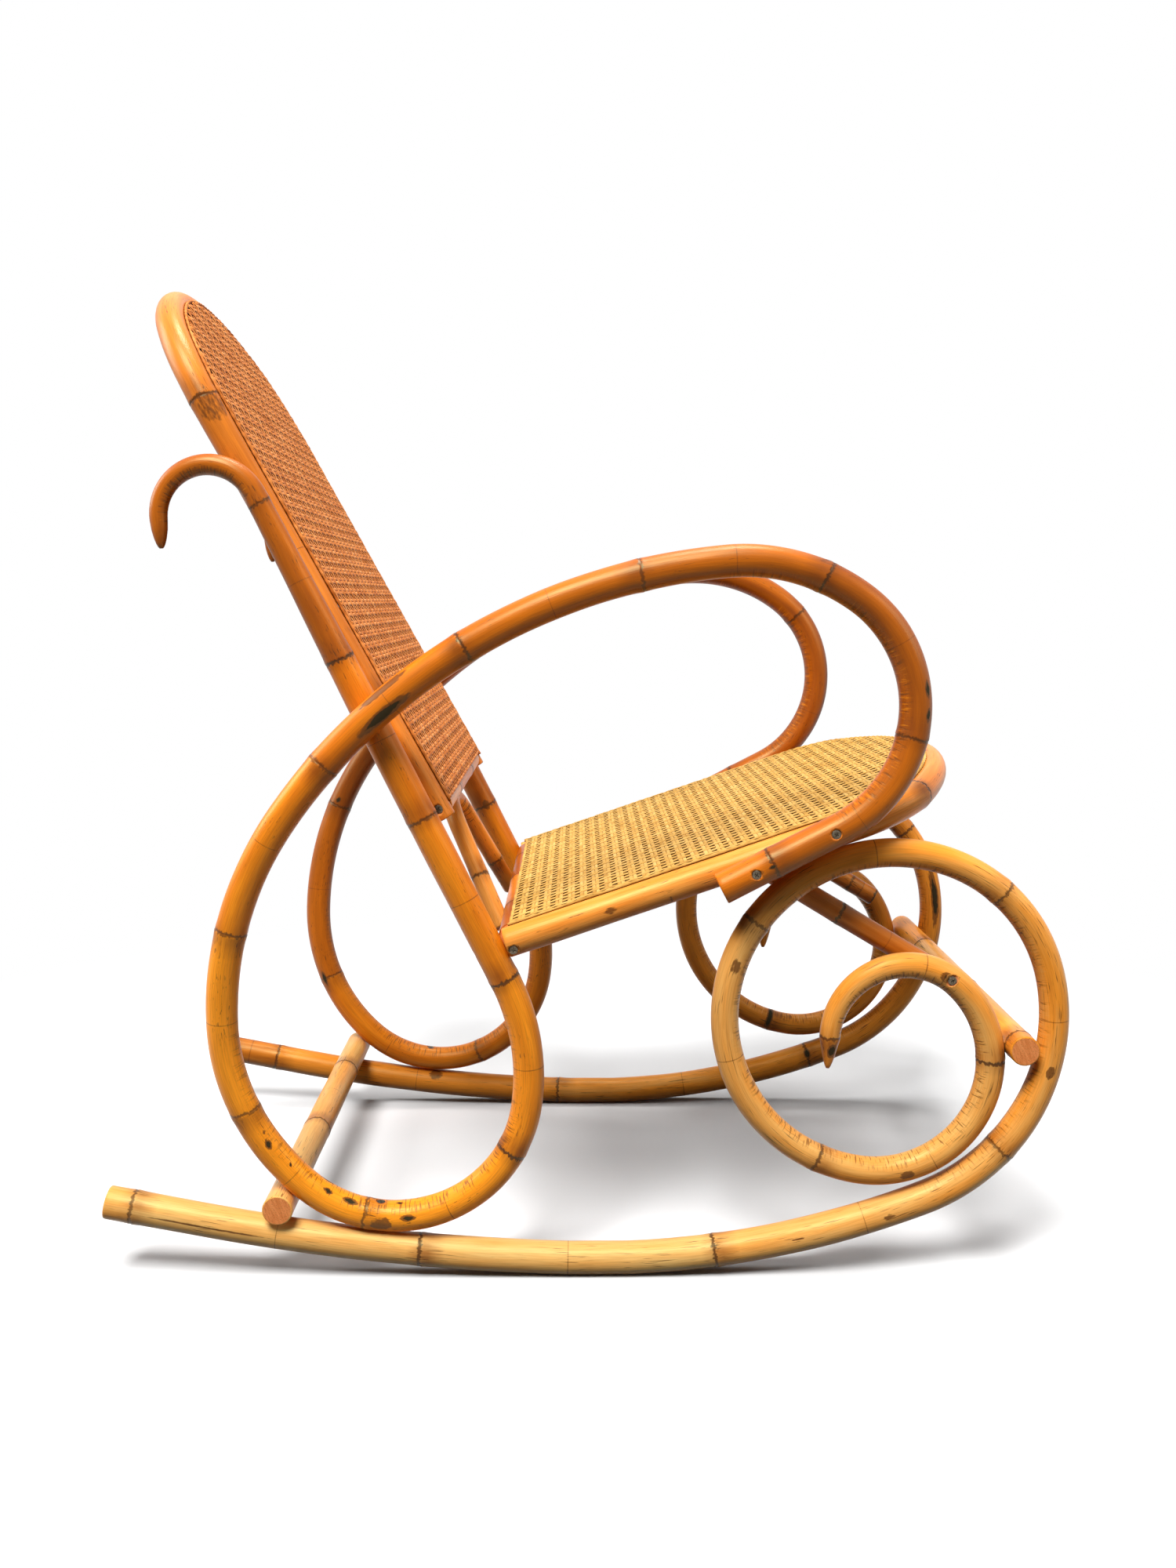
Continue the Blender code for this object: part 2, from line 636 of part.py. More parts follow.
        fasten("curl_screw_" + side, rocker_pole, strut, spot, inward, RING_POLE / 2)
        spot = at_y(places["bar_on_ring"], HALF_WIDTH * sign)
        to_bar = at_y(-flat(STRETCHER_ANGLE), 0.0)
        fasten("front_stretcher_screw_" + side, rocker_pole, "front_stretcher", spot, to_bar, RING_POLE / 2)
        spot = at_y(tail_centre + down * TAIL_RADIUS, HALF_WIDTH * sign)
        to_bar = at_y(-down, 0.0)
        fasten("rear_stretcher_screw_" + side, rocker_pole, "rear_stretcher", spot, to_bar, ROCKER_POLE / 2)
        spot = at_y(loop_centre + loop_down * LOOP_RADIUS, HALF_WIDTH * sign)
        fasten("loop_screw_" + side, arm_pole, rocker_pole, spot, at_y(loop_down, 0.0), ARM_POLE / 2)
        for where, rise in (("low", LOW_BACK_SCREW_UP), ("high", HIGH_BACK_SCREW_UP)):
            leg = back_start + back_up * rise
            beside = foot + upright * (leg - foot).dot(upright)
            outward = at_y(beside - leg, (HALF_WIDTH - back_half) * sign)
            spot = at_y(leg, back_half * sign)
            fasten("back_screw_%s_%s" % (where, side), "back_frame", arm_pole, spot, outward, BACK_POLE / 2)
        spot = at_y(bottom_rail, back_half * sign)
        across = half_chord(BACK_POLE / 2, rail_raise)
        fasten("bottom_rail_screw_" + side, "back_frame", "back_bottom_rail", spot, inward, across)
        spot = at_y(foot + upright * rail_rise, leg_y * sign)
        fasten("hoop_screw_" + side, "back_hoop", "seat_rear_rail", spot, at_y(ahead, 0.0), HOOP_POLE / 2)
        spot = at_y(strut_top + slope * STRUT_SCREW_IN, strut_y * sign)
        fasten("strut_screw_top_" + side, strut, "seat_frame", spot, -inward, STRUT_POLE / 2)

    # One screw at the top of the hoop
    top = foot + upright * hoop_top
    to_rail = at_y(bottom_rail - top, 0.0)
    fasten("hoop_screw_top", "back_hoop", "back_bottom_rail", at_y(top, 0.0), to_rail, HOOP_POLE / 2)


build()
cut_screw_holes()
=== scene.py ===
"""Looks of a rocking chair of bent rattan canes with a woven seat and back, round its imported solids.

X is forward, Y is the sitter's left and Z is up, in metres, as in the solids.
Each cane is bent as a bench worker's bending list says: straights and arcs, end to end.
"""
import math
import random

import bmesh
import bpy
import numpy as np
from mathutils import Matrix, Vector
from mathutils.kdtree import KDTree


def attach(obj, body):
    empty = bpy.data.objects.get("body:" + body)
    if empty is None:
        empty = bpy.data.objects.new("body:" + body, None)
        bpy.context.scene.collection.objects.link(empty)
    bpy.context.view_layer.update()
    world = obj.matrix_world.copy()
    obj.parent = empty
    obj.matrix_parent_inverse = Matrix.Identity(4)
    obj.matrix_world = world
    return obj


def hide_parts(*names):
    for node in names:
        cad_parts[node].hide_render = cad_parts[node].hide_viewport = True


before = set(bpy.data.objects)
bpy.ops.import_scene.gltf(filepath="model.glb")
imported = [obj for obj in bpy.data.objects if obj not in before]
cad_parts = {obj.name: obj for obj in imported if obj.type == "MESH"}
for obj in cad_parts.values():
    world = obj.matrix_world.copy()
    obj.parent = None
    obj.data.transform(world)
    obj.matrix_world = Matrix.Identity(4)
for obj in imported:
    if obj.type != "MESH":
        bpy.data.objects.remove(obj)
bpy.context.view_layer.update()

MM = 0.001

# Fits between touching pieces, as in the solids
CLEARANCE = 0.0004
RING_SIDE_GAP = 0.0010
RING_OVER_RUNNER = 0.0035

# Cane diameters
ARM_CANE = 0.034
HOOK_NECK = 0.024
HOOK_TIP = 0.013
ROCKER_CANE = 0.036
RING_CANE = 0.031
CURL_TIP = 0.014
SEAT_CANE = 0.033
REAR_RAIL = 0.030
CROSS_RAIL = 0.026
BACK_CANE = 0.032
BOTTOM_RAIL = 0.024
HOOP_CANE = 0.022
FRONT_STRETCHER = 0.033
REAR_STRETCHER = 0.034
STRUT_CANE = 0.025
BEAD = 0.006

# From the middle of the chair to a rocker's centreline, and how far the stretchers stick out
HALF_WIDTH = 0.265
STRETCHER_PAST = 0.005

# Rocker cane: level spot under the balance point, runner and tail, then ring and curl
LOWEST_X = 0.01575
REST_FLAT = 0.062
RUNNER_RADIUS = 0.985
RUNNER_SWEEP = 21.8
TAIL_RADIUS = 2.500
TAIL_SWEEP = 9.5
TAIL_STRAIGHT = 0.106
ENTRY_SWEEP = 82.5
RING_RADIUS = 0.181
RING_SWEEP = 246.0
CURL_SWEEP = 146.0
CURL_END_RADIUS = 0.083
CURL_END_SWEEP = 131.0
CURL_STRAIGHT = 0.039
STRETCHER_ANGLE = -8.2

# Arm cane: rear loop, upright and hook one way, rear bends, arm and arm end the other way
LOOP_BACK = 0.226
LOOP_RADIUS = 0.149
RECLINE = 26.2
UPRIGHT_BOW = 34.7
BOW_RADIUS = 0.245
UPRIGHT_STRAIGHT = 0.581
UPRIGHT_FULL = 0.330
HOOK_RADIUS = 0.053
HOOK_SWEEP = 157.0
HOOK_STRAIGHT = 0.031
LOOP_BACK_SWEEP = 42.0
REAR_LOWER_RADIUS = 0.247
REAR_LOWER_SWEEP = 49.3
REAR_UPPER_RADIUS = 0.412
REAR_UPPER_SWEEP = 34.2
ARM_RADIUS = 0.638
ARM_SWEEP = 49.5
SHOULDER_RADIUS = 0.207
SHOULDER_SWEEP = 40.6
ARM_END_ANGLE = 8.5
ARM_CROSSES_BEHIND_RING = 0.055
ARM_END_PAST = 0.078

# Seat frame and struts
SEAT_TILT = 18.9
SEAT_STRAIGHT = 0.392
SEAT_CORNER = 0.108
CORNER_SWEEP = 60.0
CROSS_RAIL_FORWARD = 0.185
STRUT_BEHIND_RING = 0.097
STRUT_ABOVE_AXIS = 0.004
STRUT_MEETS_CURL = 42.0
STRUT_PAST = 0.008

# Back frame and hoop
BACK_LEAN = 2.4
BACK_PIVOT = 0.520
BACK_FOOT = 0.185
BOTTOM_RAIL_UP = 0.013
BACK_STRAIGHT = 0.495
BACK_CORNER = 0.145
HOOP_RADIUS = 0.065
HOOP_SWEEP = 65.0
HOOP_PAST = 0.014

# Weave: split strands in pairs, long ones forward or up, cross ones from side to side
SEAT_PITCH = 0.0144
BACK_PITCH = 0.0135
LONG_SHARE = 0.27
CROSS_SHARE = 0.30
PAIR_HALF_GAP = 0.1 * MM
STRAND_THICK = 0.0021
LONG_RISE = 0.0003
CROSS_RISE = 0.0006
STRAND_STEP = 0.0031
STRAND_WAVES = (30.0, 75.0)
STRAND_WANDER = 0.15 * MM
WEAVE_IN = 0.0045
WEAVE_START = 0.003
WEAVE_LIFT = 0.002
WEAVE_EDGE_SPARE = 0.5 * MM
TUCK = 0.006
TUCK_DEEP = 0.0022

# Edge spline: half its width and height, how far its middle is raised, its stitches, and its painted shade:
# darker where pinched and on its underside
SPLINE_WIDE = 0.0018
SPLINE_HIGH = 0.0020
SPLINE_LIFT = 0.0008
SPLINE_STEP = 0.0022
SPLINE_SIDES = 10
SPLINE_WAVES = (40.0, 130.0)
SPLINE_WANDER = 0.12
STITCH = 0.011
STITCH_BULGE = 0.16
SPLINE_SWELL_MID = 1.15
SPLINE_SWELL_SHADE = 3.0
SPLINE_UNDERSIDE_SHADE = 0.3

# The photograph's frame and its camera: size and focal length in pixels, place in metres, angles in degrees
PHOTO_WIDE = 1500
PHOTO_HIGH = 2000
FOCAL = 1746.0
EYE = Vector((-0.0072, -1.72, 0.7532))
LOOKS_DOWN = 7.73
LOOKS_AHEAD = 0.492

SIDES = {"right": -1.0, "left": 1.0}
Y_AXIS = Vector((0.0, 1.0, 0.0))


# Camera

def seen(places):
    """Pixels of the photograph at which places in space show, as an array of (x, y)."""
    down = math.radians(LOOKS_DOWN)
    pan = math.radians(LOOKS_AHEAD)
    ahead = np.array((math.sin(pan) * math.cos(down), math.cos(pan) * math.cos(down), -math.sin(down)))
    right = np.array((math.cos(pan), -math.sin(pan), 0.0))
    up = np.cross(right, ahead)
    away = np.asarray(places) - np.array(EYE)
    depth = away @ ahead
    x = PHOTO_WIDE / 2 + FOCAL * (away @ right) / depth
    y = PHOTO_HIGH / 2 - FOCAL * (away @ up) / depth
    return np.stack((x, y), -1)


def set_camera():
    eye = bpy.data.cameras.new("photo_camera")
    eye.sensor_width = 36.0
    eye.lens = eye.sensor_width * FOCAL / PHOTO_HIGH
    made = bpy.data.objects.new("photo_camera", eye)
    made.location = EYE
    made.rotation_euler = (math.radians(90.0 - LOOKS_DOWN), 0.0, math.radians(-LOOKS_AHEAD))
    bpy.context.scene.collection.objects.link(made)
    bpy.context.scene.camera = made


# Routes of the canes

STEP_LENGTH = 0.003


def flat(angle):
    """Unit vector in the side plane, as (x, z), at an angle above forward."""
    return Vector((math.cos(math.radians(angle)), math.sin(math.radians(angle))))


def at_y(point, y):
    """A side-plane point (x, z) at a given y."""
    return Vector((point[0], y, point[1]))


class Walk:
    """Centreline of a bent cane in the side plane, walked bend by bend."""

    def __init__(self, start, heading, width=0.0, y=0.0):
        self.points = [Vector(start)]
        self.sides = [y]
        self.widths = [width]
        self.heading = heading

    def _add(self, places, width):
        first = self.widths[-1]
        last = first if width is None else width
        for i, place in enumerate(places):
            self.points.append(place)
            self.sides.append(self.sides[-1])
            self.widths.append(first + (last - first) * (i + 1) / len(places))

    def straight(self, length, width=None):
        steps = max(1, math.ceil(length / STEP_LENGTH))
        start = self.points[-1]
        way = flat(self.heading) * length
        self._add([start + way * (i + 1) / steps for i in range(steps)], width)

    def arc(self, radius, sweep, width=None):
        """Turn left for a positive sweep and right for a negative one; gives the centre."""
        hand = math.copysign(1.0, sweep)
        centre = self.points[-1] + flat(self.heading + 90.0 * hand) * radius
        steps = max(2, math.ceil(radius * math.radians(abs(sweep)) / STEP_LENGTH))
        spoke = self.heading - 90.0 * hand
        turns = [spoke + sweep * (i + 1) / steps for i in range(steps)]
        self._add([centre + flat(angle) * radius for angle in turns], width)
        self.heading += sweep
        return centre

    def drift(self, since, y):
        """Ease sideways to y between an earlier point, by its number, and the last one."""
        first = self.sides[since]
        run = [0.0]
        for before, after in zip(self.points[since:], self.points[since + 1:]):
            run.append(run[-1] + (after - before).length)
        for i, gone in enumerate(run):
            share = gone / run[-1]
            self.sides[since + i] = first + (y - first) * share * share * (3.0 - 2.0 * share)

    def line(self, side):
        return [at_y(p, y * side) for p, y in zip(self.points, self.sides)]


def joined(back, front):
    """One walk from the far end of one to the far end of the other; both start together."""
    whole = Walk(back.points[-1], front.heading)
    whole.points = back.points[::-1] + front.points[1:]
    whole.sides = back.sides[::-1] + front.sides[1:]
    whole.widths = back.widths[::-1] + front.widths[1:]
    return whole


def rocker_walk():
    """A rocker cane from the tail to the curl's tip, with the places that other pieces take from it."""
    start = (LOWEST_X, ROCKER_CANE / 2)
    level_turn = math.degrees(math.asin(REST_FLAT / 2 / RUNNER_RADIUS))
    tail = Walk(start, 180.0, ROCKER_CANE, HALF_WIDTH)
    tail.straight(REST_FLAT / 2)
    tail.heading -= level_turn
    tail_centre = tail.arc(TAIL_RADIUS, -TAIL_SWEEP)
    tail.straight(TAIL_STRAIGHT)
    nose = Walk(start, 0.0, ROCKER_CANE, HALF_WIDTH)
    nose.straight(REST_FLAT / 2)
    nose.heading += level_turn
    nose.arc(RUNNER_RADIUS, RUNNER_SWEEP - level_turn)
    entry_radius = RING_RADIUS + ROCKER_CANE / 2 + RING_CANE / 2 + RING_OVER_RUNNER
    entry_centre = nose.arc(entry_radius, ENTRY_SWEEP, RING_CANE)
    ring_centre = nose.arc(RING_RADIUS, RING_SWEEP)
    toward_bar = flat(STRETCHER_ANGLE)
    reach = entry_radius - ROCKER_CANE / 2 - RING_SIDE_GAP - FRONT_STRETCHER / 2
    front_bar = entry_centre + toward_bar * reach
    spoke = flat(nose.heading - 90.0)
    apart = RING_CANE / 2 + FRONT_STRETCHER / 2 + CLEARANCE
    offset = front_bar - ring_centre - spoke * RING_RADIUS
    curl_radius = (offset.dot(offset) - apart * apart) / (2.0 * (apart - offset.dot(spoke)))
    curl_centre = nose.arc(curl_radius, CURL_SWEEP)
    nose.arc(CURL_END_RADIUS, CURL_END_SWEEP, (RING_CANE + CURL_TIP) / 2)
    nose.straight(CURL_STRAIGHT, CURL_TIP)
    strut_end = curl_centre + flat(STRUT_MEETS_CURL) * curl_radius
    return joined(tail, nose), tail_centre, ring_centre, front_bar, strut_end


def arm_walk(tail_centre, crossing):
    """The arm cane from its end beside the seat rail to its hook, with the upright's foot."""
    inside = TAIL_RADIUS - ROCKER_CANE / 2 - CLEARANCE - ARM_CANE / 2 - LOOP_RADIUS
    loop_x = LOWEST_X - LOOP_BACK
    drop = math.sqrt(inside ** 2 - (loop_x - tail_centre[0]) ** 2)
    start = Vector((loop_x, tail_centre[1] - drop - LOOP_RADIUS))
    up = Walk(start, 0.0, ARM_CANE, HALF_WIDTH)
    up.arc(LOOP_RADIUS, 90.0 + RECLINE - UPRIGHT_BOW)
    up.arc(BOW_RADIUS, UPRIGHT_BOW)
    foot = up.points[-1]
    up.straight(UPRIGHT_FULL)
    up.straight(UPRIGHT_STRAIGHT - UPRIGHT_FULL, HOOK_NECK)
    up.arc(HOOK_RADIUS, HOOK_SWEEP, (HOOK_NECK + HOOK_TIP) / 2)
    up.straight(HOOK_STRAIGHT, HOOK_TIP)
    over = Walk(start, 180.0, ARM_CANE, HALF_WIDTH)
    over.arc(LOOP_RADIUS, -LOOP_BACK_SWEEP)
    bends_out = len(over.points) - 1
    lower_centre = over.arc(REAR_LOWER_RADIUS, -REAR_LOWER_SWEEP)
    over.arc(REAR_UPPER_RADIUS, -REAR_UPPER_SWEEP)
    over.drift(bends_out, HALF_WIDTH + ARM_CANE + CLEARANCE)
    over.arc(ARM_RADIUS, -ARM_SWEEP)
    bends_in = len(over.points) - 1
    over.arc(SHOULDER_RADIUS, -SHOULDER_SWEEP)
    over.drift(bends_in, HALF_WIDTH + ARM_CANE / 2 + SEAT_CANE / 2 + CLEARANCE)
    end_angle = SEAT_TILT + ARM_END_ANGLE
    above = flat(end_angle + 90.0)
    inward = flat(over.heading - 90.0)
    radius = (over.points[-1] - crossing).dot(above) / (1.0 - inward.dot(above))
    over.arc(radius, end_angle - 180.0 - over.heading)
    over.straight((over.points[-1] - crossing).dot(flat(end_angle)) + ARM_END_PAST)
    return joined(over, up), up, foot, lower_centre


def bent_u(straight, half_width, corner):
    """Outline of a U as (ahead, y): up one leg, round a corner, across the crown and back."""
    leg = Walk((0.0, half_width), 0.0)
    leg.straight(straight)
    leg.arc(corner, -CORNER_SWEEP)
    bend = 1.0 - math.cos(math.radians(CORNER_SWEEP))
    crown = (half_width - corner * bend) / math.cos(math.radians(CORNER_SWEEP))
    leg.arc(crown, CORNER_SWEEP - 90.0)
    half = leg.points
    return half + [Vector((p[0], -p[1])) for p in half[-2::-1]]


def lay(outline, origin, ahead, normal, height):
    """Put an (ahead, y) outline into space on a slanted plane, raised along its normal."""
    base = origin + normal * height
    return [at_y(base + ahead * p[0], p[1]) for p in outline]


def inset(outline, distance):
    """Move an open outline's points sideways, towards the inside of its U."""
    moved = []
    for i, point in enumerate(outline):
        run = outline[min(i + 1, len(outline) - 1)] - outline[max(i - 1, 0)]
        run.normalize()
        moved.append(point + Vector((run[1], -run[0])) * distance)
    return moved


def circle_corner(first, first_radius, second, second_radius):
    """The point at given distances from two centres, to the left of the way between them."""
    between = second - first
    span = between.length
    share = (span ** 2 + first_radius ** 2 - second_radius ** 2) / (2.0 * span)
    out = math.sqrt(first_radius ** 2 - share ** 2)
    toward = between / span
    return first + toward * share + Vector((-toward[1], toward[0])) * out


def half_chord(radius, offset):
    return math.sqrt(radius ** 2 - offset ** 2)


# Layout: walks, places and directions that several pieces share, most in the side plane as (x, z)

ROCKER, TAIL_CENTRE, RING_CENTRE, FRONT_BAR, STRUT_LOW = rocker_walk()
SEAT_WAY = flat(SEAT_TILT)
SEAT_UP = flat(SEAT_TILT + 90.0)
SEAT_NORMAL = at_y(SEAT_UP, 0.0)
SEAT_OVER_RING = RING_RADIUS + RING_CANE / 2 + SEAT_CANE / 2 + CLEARANCE
ON_RING = RING_CENTRE + SEAT_UP * SEAT_OVER_RING
ARM_CROSSING = ON_RING - SEAT_WAY * ARM_CROSSES_BEHIND_RING
ARM, UPRIGHT_WALK, FOOT, LOWER_CENTRE = arm_walk(TAIL_CENTRE, ARM_CROSSING)
UPRIGHT_WAY = flat(90.0 + RECLINE)
UPRIGHT_AHEAD = flat(RECLINE)

# The seat frame butts against the uprights, and its rear rail lies against the hoop
SEAT_MEETS = FOOT + UPRIGHT_WAY * ((ON_RING - FOOT).dot(SEAT_UP) / UPRIGHT_WAY.dot(SEAT_UP))
BUTT_LEAN = math.radians(abs(RECLINE - SEAT_TILT))
BUTT = ARM_CANE / 2 / math.cos(BUTT_LEAN) + SEAT_CANE / 2 * math.tan(BUTT_LEAN) + CLEARANCE
SEAT_START = SEAT_MEETS + SEAT_WAY * BUTT
RAISED_START = SEAT_START + SEAT_UP * (SEAT_CANE / 2 - REAR_RAIL / 2)
AHEAD_OF_HOOP = HOOP_CANE / 2 + REAR_RAIL / 2 + CLEARANCE
REAR_RAIL_IN = (AHEAD_OF_HOOP - (RAISED_START - FOOT).dot(UPRIGHT_AHEAD)) / SEAT_WAY.dot(UPRIGHT_AHEAD)
REAR_RAIL_AT = RAISED_START + SEAT_WAY * REAR_RAIL_IN

# The back leans a little more than the uprights
BACK_WAY = flat(90.0 + RECLINE + BACK_LEAN)
BACK_AHEAD = flat(RECLINE + BACK_LEAN)
BACK_START = FOOT + UPRIGHT_WAY * BACK_PIVOT - BACK_WAY * (BACK_PIVOT - BACK_FOOT)
BOTTOM_RAIL_RAISE = BACK_CANE / 2 - BOTTOM_RAIL / 2
BOTTOM_RAIL_AT = BACK_START + BACK_WAY * BOTTOM_RAIL_UP + BACK_AHEAD * BOTTOM_RAIL_RAISE


def back_half_width():
    """Half the back frame's width, at which it lies between the uprights and just clears them."""
    aside = 0.0
    for point, width in zip(UPRIGHT_WALK.points, UPRIGHT_WALK.widths):
        rise = (point - BACK_START).dot(BACK_WAY)
        if 0.0 <= rise <= BACK_PIVOT:
            touch = width / 2 + BACK_CANE / 2 + CLEARANCE
            apart = min(abs((point - BACK_START).dot(BACK_AHEAD)), touch)
            aside = max(aside, half_chord(touch, apart))
    return HALF_WIDTH - aside


BACK_HALF = back_half_width()


# Finishes

def linear(hex_colour):
    """An sRGB hex colour as linear red, green, blue and alpha."""
    parts = [int(hex_colour[i:i + 2], 16) / 255.0 for i in (0, 2, 4)]
    return [c / 12.92 if c <= 0.04045 else ((c + 0.055) / 1.055) ** 2.4 for c in parts] + [1.0]


def set_stops(ramp, stops):
    """Give a colour ramp its stops, each a place and a hex colour, from the first to the last."""
    for _ in stops[2:]:
        ramp.elements.new(0.5)
    for element, (place, colour) in zip(ramp.elements, stops):
        element.position = place
        element.color = linear(colour)


def add(tree, kind, links, **settings):
    """Add a node with its settings, and link or set its inputs."""
    made = tree.nodes.new("ShaderNode" + kind)
    for key, value in settings.items():
        setattr(made, key, value)
    for socket, source in links.items():
        if isinstance(source, bpy.types.NodeSocket):
            tree.links.new(source, made.inputs[socket])
        else:
            made.inputs[socket].default_value = source
    return made


def new_finish(name):
    """A new material, its nodes and its shader. Patterns on it are in cells per metre along and across."""
    made = bpy.data.materials.new(name)
    made.use_nodes = True
    return made, made.node_tree, made.node_tree.nodes["Principled BSDF"]


def lacquered_cane(name, deep, mid, pale, fleck_long, fleck_share, shine):
    """Rattan pole with its skin on, steamed, bent over a flame and brushed with satin lacquer.

    The eye sees long fine fibres, darker caramel round each joint ring, small flecks along the
    fibres, fine cracks across the bends and a few scorched spots, under an even soft gloss.
    """
    finish, tree, shader = new_finish(name)
    run = add(tree, "Attribute", {}, attribute_name="cane_run").outputs["Vector"]
    ring_gap = add(tree, "Attribute", {}, attribute_name="joint_line").outputs["Fac"]
    ring_dark = add(tree, "Attribute", {}, attribute_name="joint_dark").outputs["Fac"]
    tone = add(tree, "Attribute", {}, attribute_name="section_tone").outputs["Fac"]
    scorch = add(tree, "Attribute", {}, attribute_name="scorch").outputs["Fac"]
    bend = add(tree, "Attribute", {}, attribute_name="bend").outputs["Fac"]

    # Fibres about 1 mm wide and 35 mm long, a little coarser than real so that they show
    fibre_at = add(tree, "VectorMath", {0: run, 1: (28, 950, 950)}, operation="MULTIPLY").outputs[0]
    fibre = add(tree, "TexNoise", {"Vector": fibre_at, "Scale": 1.0, "Detail": 4.0}).outputs["Fac"]
    # Drift of colour over about 150 mm along and 15 mm round the cane
    drift_at = add(tree, "VectorMath", {0: run, 1: (7, 65, 65)}, operation="MULTIPLY").outputs[0]
    drift = add(tree, "TexNoise", {"Vector": drift_at, "Scale": 1.0, "Detail": 3.0}).outputs["Fac"]
    even = add(tree, "MapRange", {0: drift, 1: 0.25, 2: 0.75, 3: 0.42, 4: 0.58}).outputs[0]
    shade = add(tree, "Math", {0: tone, 1: 0.17, 2: even}, operation="MULTIPLY_ADD").outputs[0]
    tints = add(tree, "ValToRGB", {"Fac": shade})
    set_stops(tints.color_ramp, ((0.28, deep), (0.50, mid), (0.72, pale)))
    toned = tints.outputs["Color"]
    streak = add(tree, "MapRange", {0: fibre, 1: 0.32, 2: 0.58, 3: 0.30, 4: 0.0}).outputs[0]
    body = add(tree, "Mix", {0: streak, 6: toned, 7: linear(deep)}, data_type="RGBA").outputs[2]

    # Joint ring: a dark line about 4 mm wide, ragged every 3 mm or so, at one side of a 25 mm caramel stain
    rag_at = add(tree, "VectorMath", {0: run, 1: (130, 330, 330)}, operation="MULTIPLY").outputs[0]
    rag = add(tree, "TexNoise", {"Vector": rag_at, "Scale": 1.0, "Detail": 2.0}).outputs["Fac"]
    shift = add(tree, "MapRange", {0: rag, 1: 0.3, 2: 0.7, 3: -0.0017, 4: 0.0017}).outputs[0]
    wander = add(tree, "Math", {0: ring_gap, 1: shift}, operation="ADD").outputs[0]
    ragged = add(tree, "Math", {0: wander}, operation="ABSOLUTE").outputs[0]
    thin = add(tree, "MapRange", {0: ragged, 1: 0.0012, 2: 0.0027, 3: 0.95, 4: 0.0}).outputs[0]
    line = add(tree, "Math", {0: thin, 1: ring_dark}, operation="MULTIPLY").outputs[0]
    stain_mid = add(tree, "Math", {0: ring_gap, 1: 0.007}, operation="SUBTRACT").outputs[0]
    stain_off = add(tree, "Math", {0: stain_mid}, operation="ABSOLUTE").outputs[0]
    near = add(tree, "MapRange", {0: stain_off, 1: 0.003, 2: 0.022, 3: 1.0, 4: 0.0}).outputs[0]
    reach = add(tree, "Math", {0: near, 1: ring_dark}, operation="MULTIPLY").outputs[0]
    patch = add(tree, "MapRange", {0: drift, 1: 0.32, 2: 0.62, 3: 0.95, 4: 0.30}).outputs[0]
    stain = add(tree, "Math", {0: reach, 1: patch}, operation="MULTIPLY").outputs[0]
    stained = add(tree, "Mix", {0: stain, 6: body, 7: linear("7a3608")}, data_type="RGBA").outputs[2]

    # Flecks about 1 mm wide and fleck_long mm long, in 75 mm patches and thicker by the joints
    fleck_cells = (900 / fleck_long, 820, 820)
    fleck_at = add(tree, "VectorMath", {0: run, 1: fleck_cells}, operation="MULTIPLY").outputs[0]
    speck = add(tree, "TexNoise", {"Vector": fleck_at, "Scale": 1.0, "Detail": 1.0}).outputs["Fac"]
    where_at = add(tree, "VectorMath", {0: run, 1: (13, 40, 40)}, operation="MULTIPLY").outputs[0]
    where = add(tree, "TexNoise", {"Vector": where_at, "Scale": 1.0, "Detail": 2.0}).outputs["Fac"]
    near_joint = add(tree, "Math", {0: reach, 1: 0.07, 2: speck}, operation="MULTIPLY_ADD").outputs[0]
    spot = add(tree, "MapRange", {0: near_joint, 1: 0.64, 2: 0.72, 3: 0.0, 4: 0.8}).outputs[0]
    least = 0.62 - 0.3 * fleck_share
    some = add(tree, "MapRange", {0: where, 1: least, 2: least + 0.1, 3: 0.0, 4: 1.0}).outputs[0]
    fleck = add(tree, "Math", {0: spot, 1: some}, operation="MULTIPLY").outputs[0]
    flecked = add(tree, "Mix", {0: fleck, 6: stained, 7: linear("4a220a")}, data_type="RGBA").outputs[2]

    # Fine cracks about 2 mm apart across the skin on the inside of the tight bends
    crack_at = add(tree, "VectorMath", {0: run, 1: (480, 60, 60)}, operation="MULTIPLY").outputs[0]
    split = add(tree, "TexNoise", {"Vector": crack_at, "Scale": 1.0, "Detail": 2.0}).outputs["Fac"]
    hair = add(tree, "MapRange", {0: split, 1: 0.56, 2: 0.63, 3: 0.0, 4: 1.0}).outputs[0]
    tight = add(tree, "MapRange", {0: bend, 1: -2.0, 2: -5.0, 3: 0.0, 4: 0.75}).outputs[0]
    crack = add(tree, "Math", {0: hair, 1: tight}, operation="MULTIPLY").outputs[0]
    cracked = add(tree, "Mix", {0: crack, 6: flecked, 7: linear("6b340c")}, data_type="RGBA").outputs[2]
    # Between the cracks the skin lifts in short pale ridges
    ridge = add(tree, "MapRange", {0: split, 1: 0.40, 2: 0.33, 3: 0.0, 4: 0.4}).outputs[0]
    lifted = add(tree, "Math", {0: ridge, 1: tight}, operation="MULTIPLY").outputs[0]
    ridged = add(tree, "Mix", {0: lifted, 6: cracked, 7: linear(pale)}, data_type="RGBA").outputs[2]
    ringed = add(tree, "Mix", {0: line, 6: ridged, 7: linear("3e1505")}, data_type="RGBA").outputs[2]

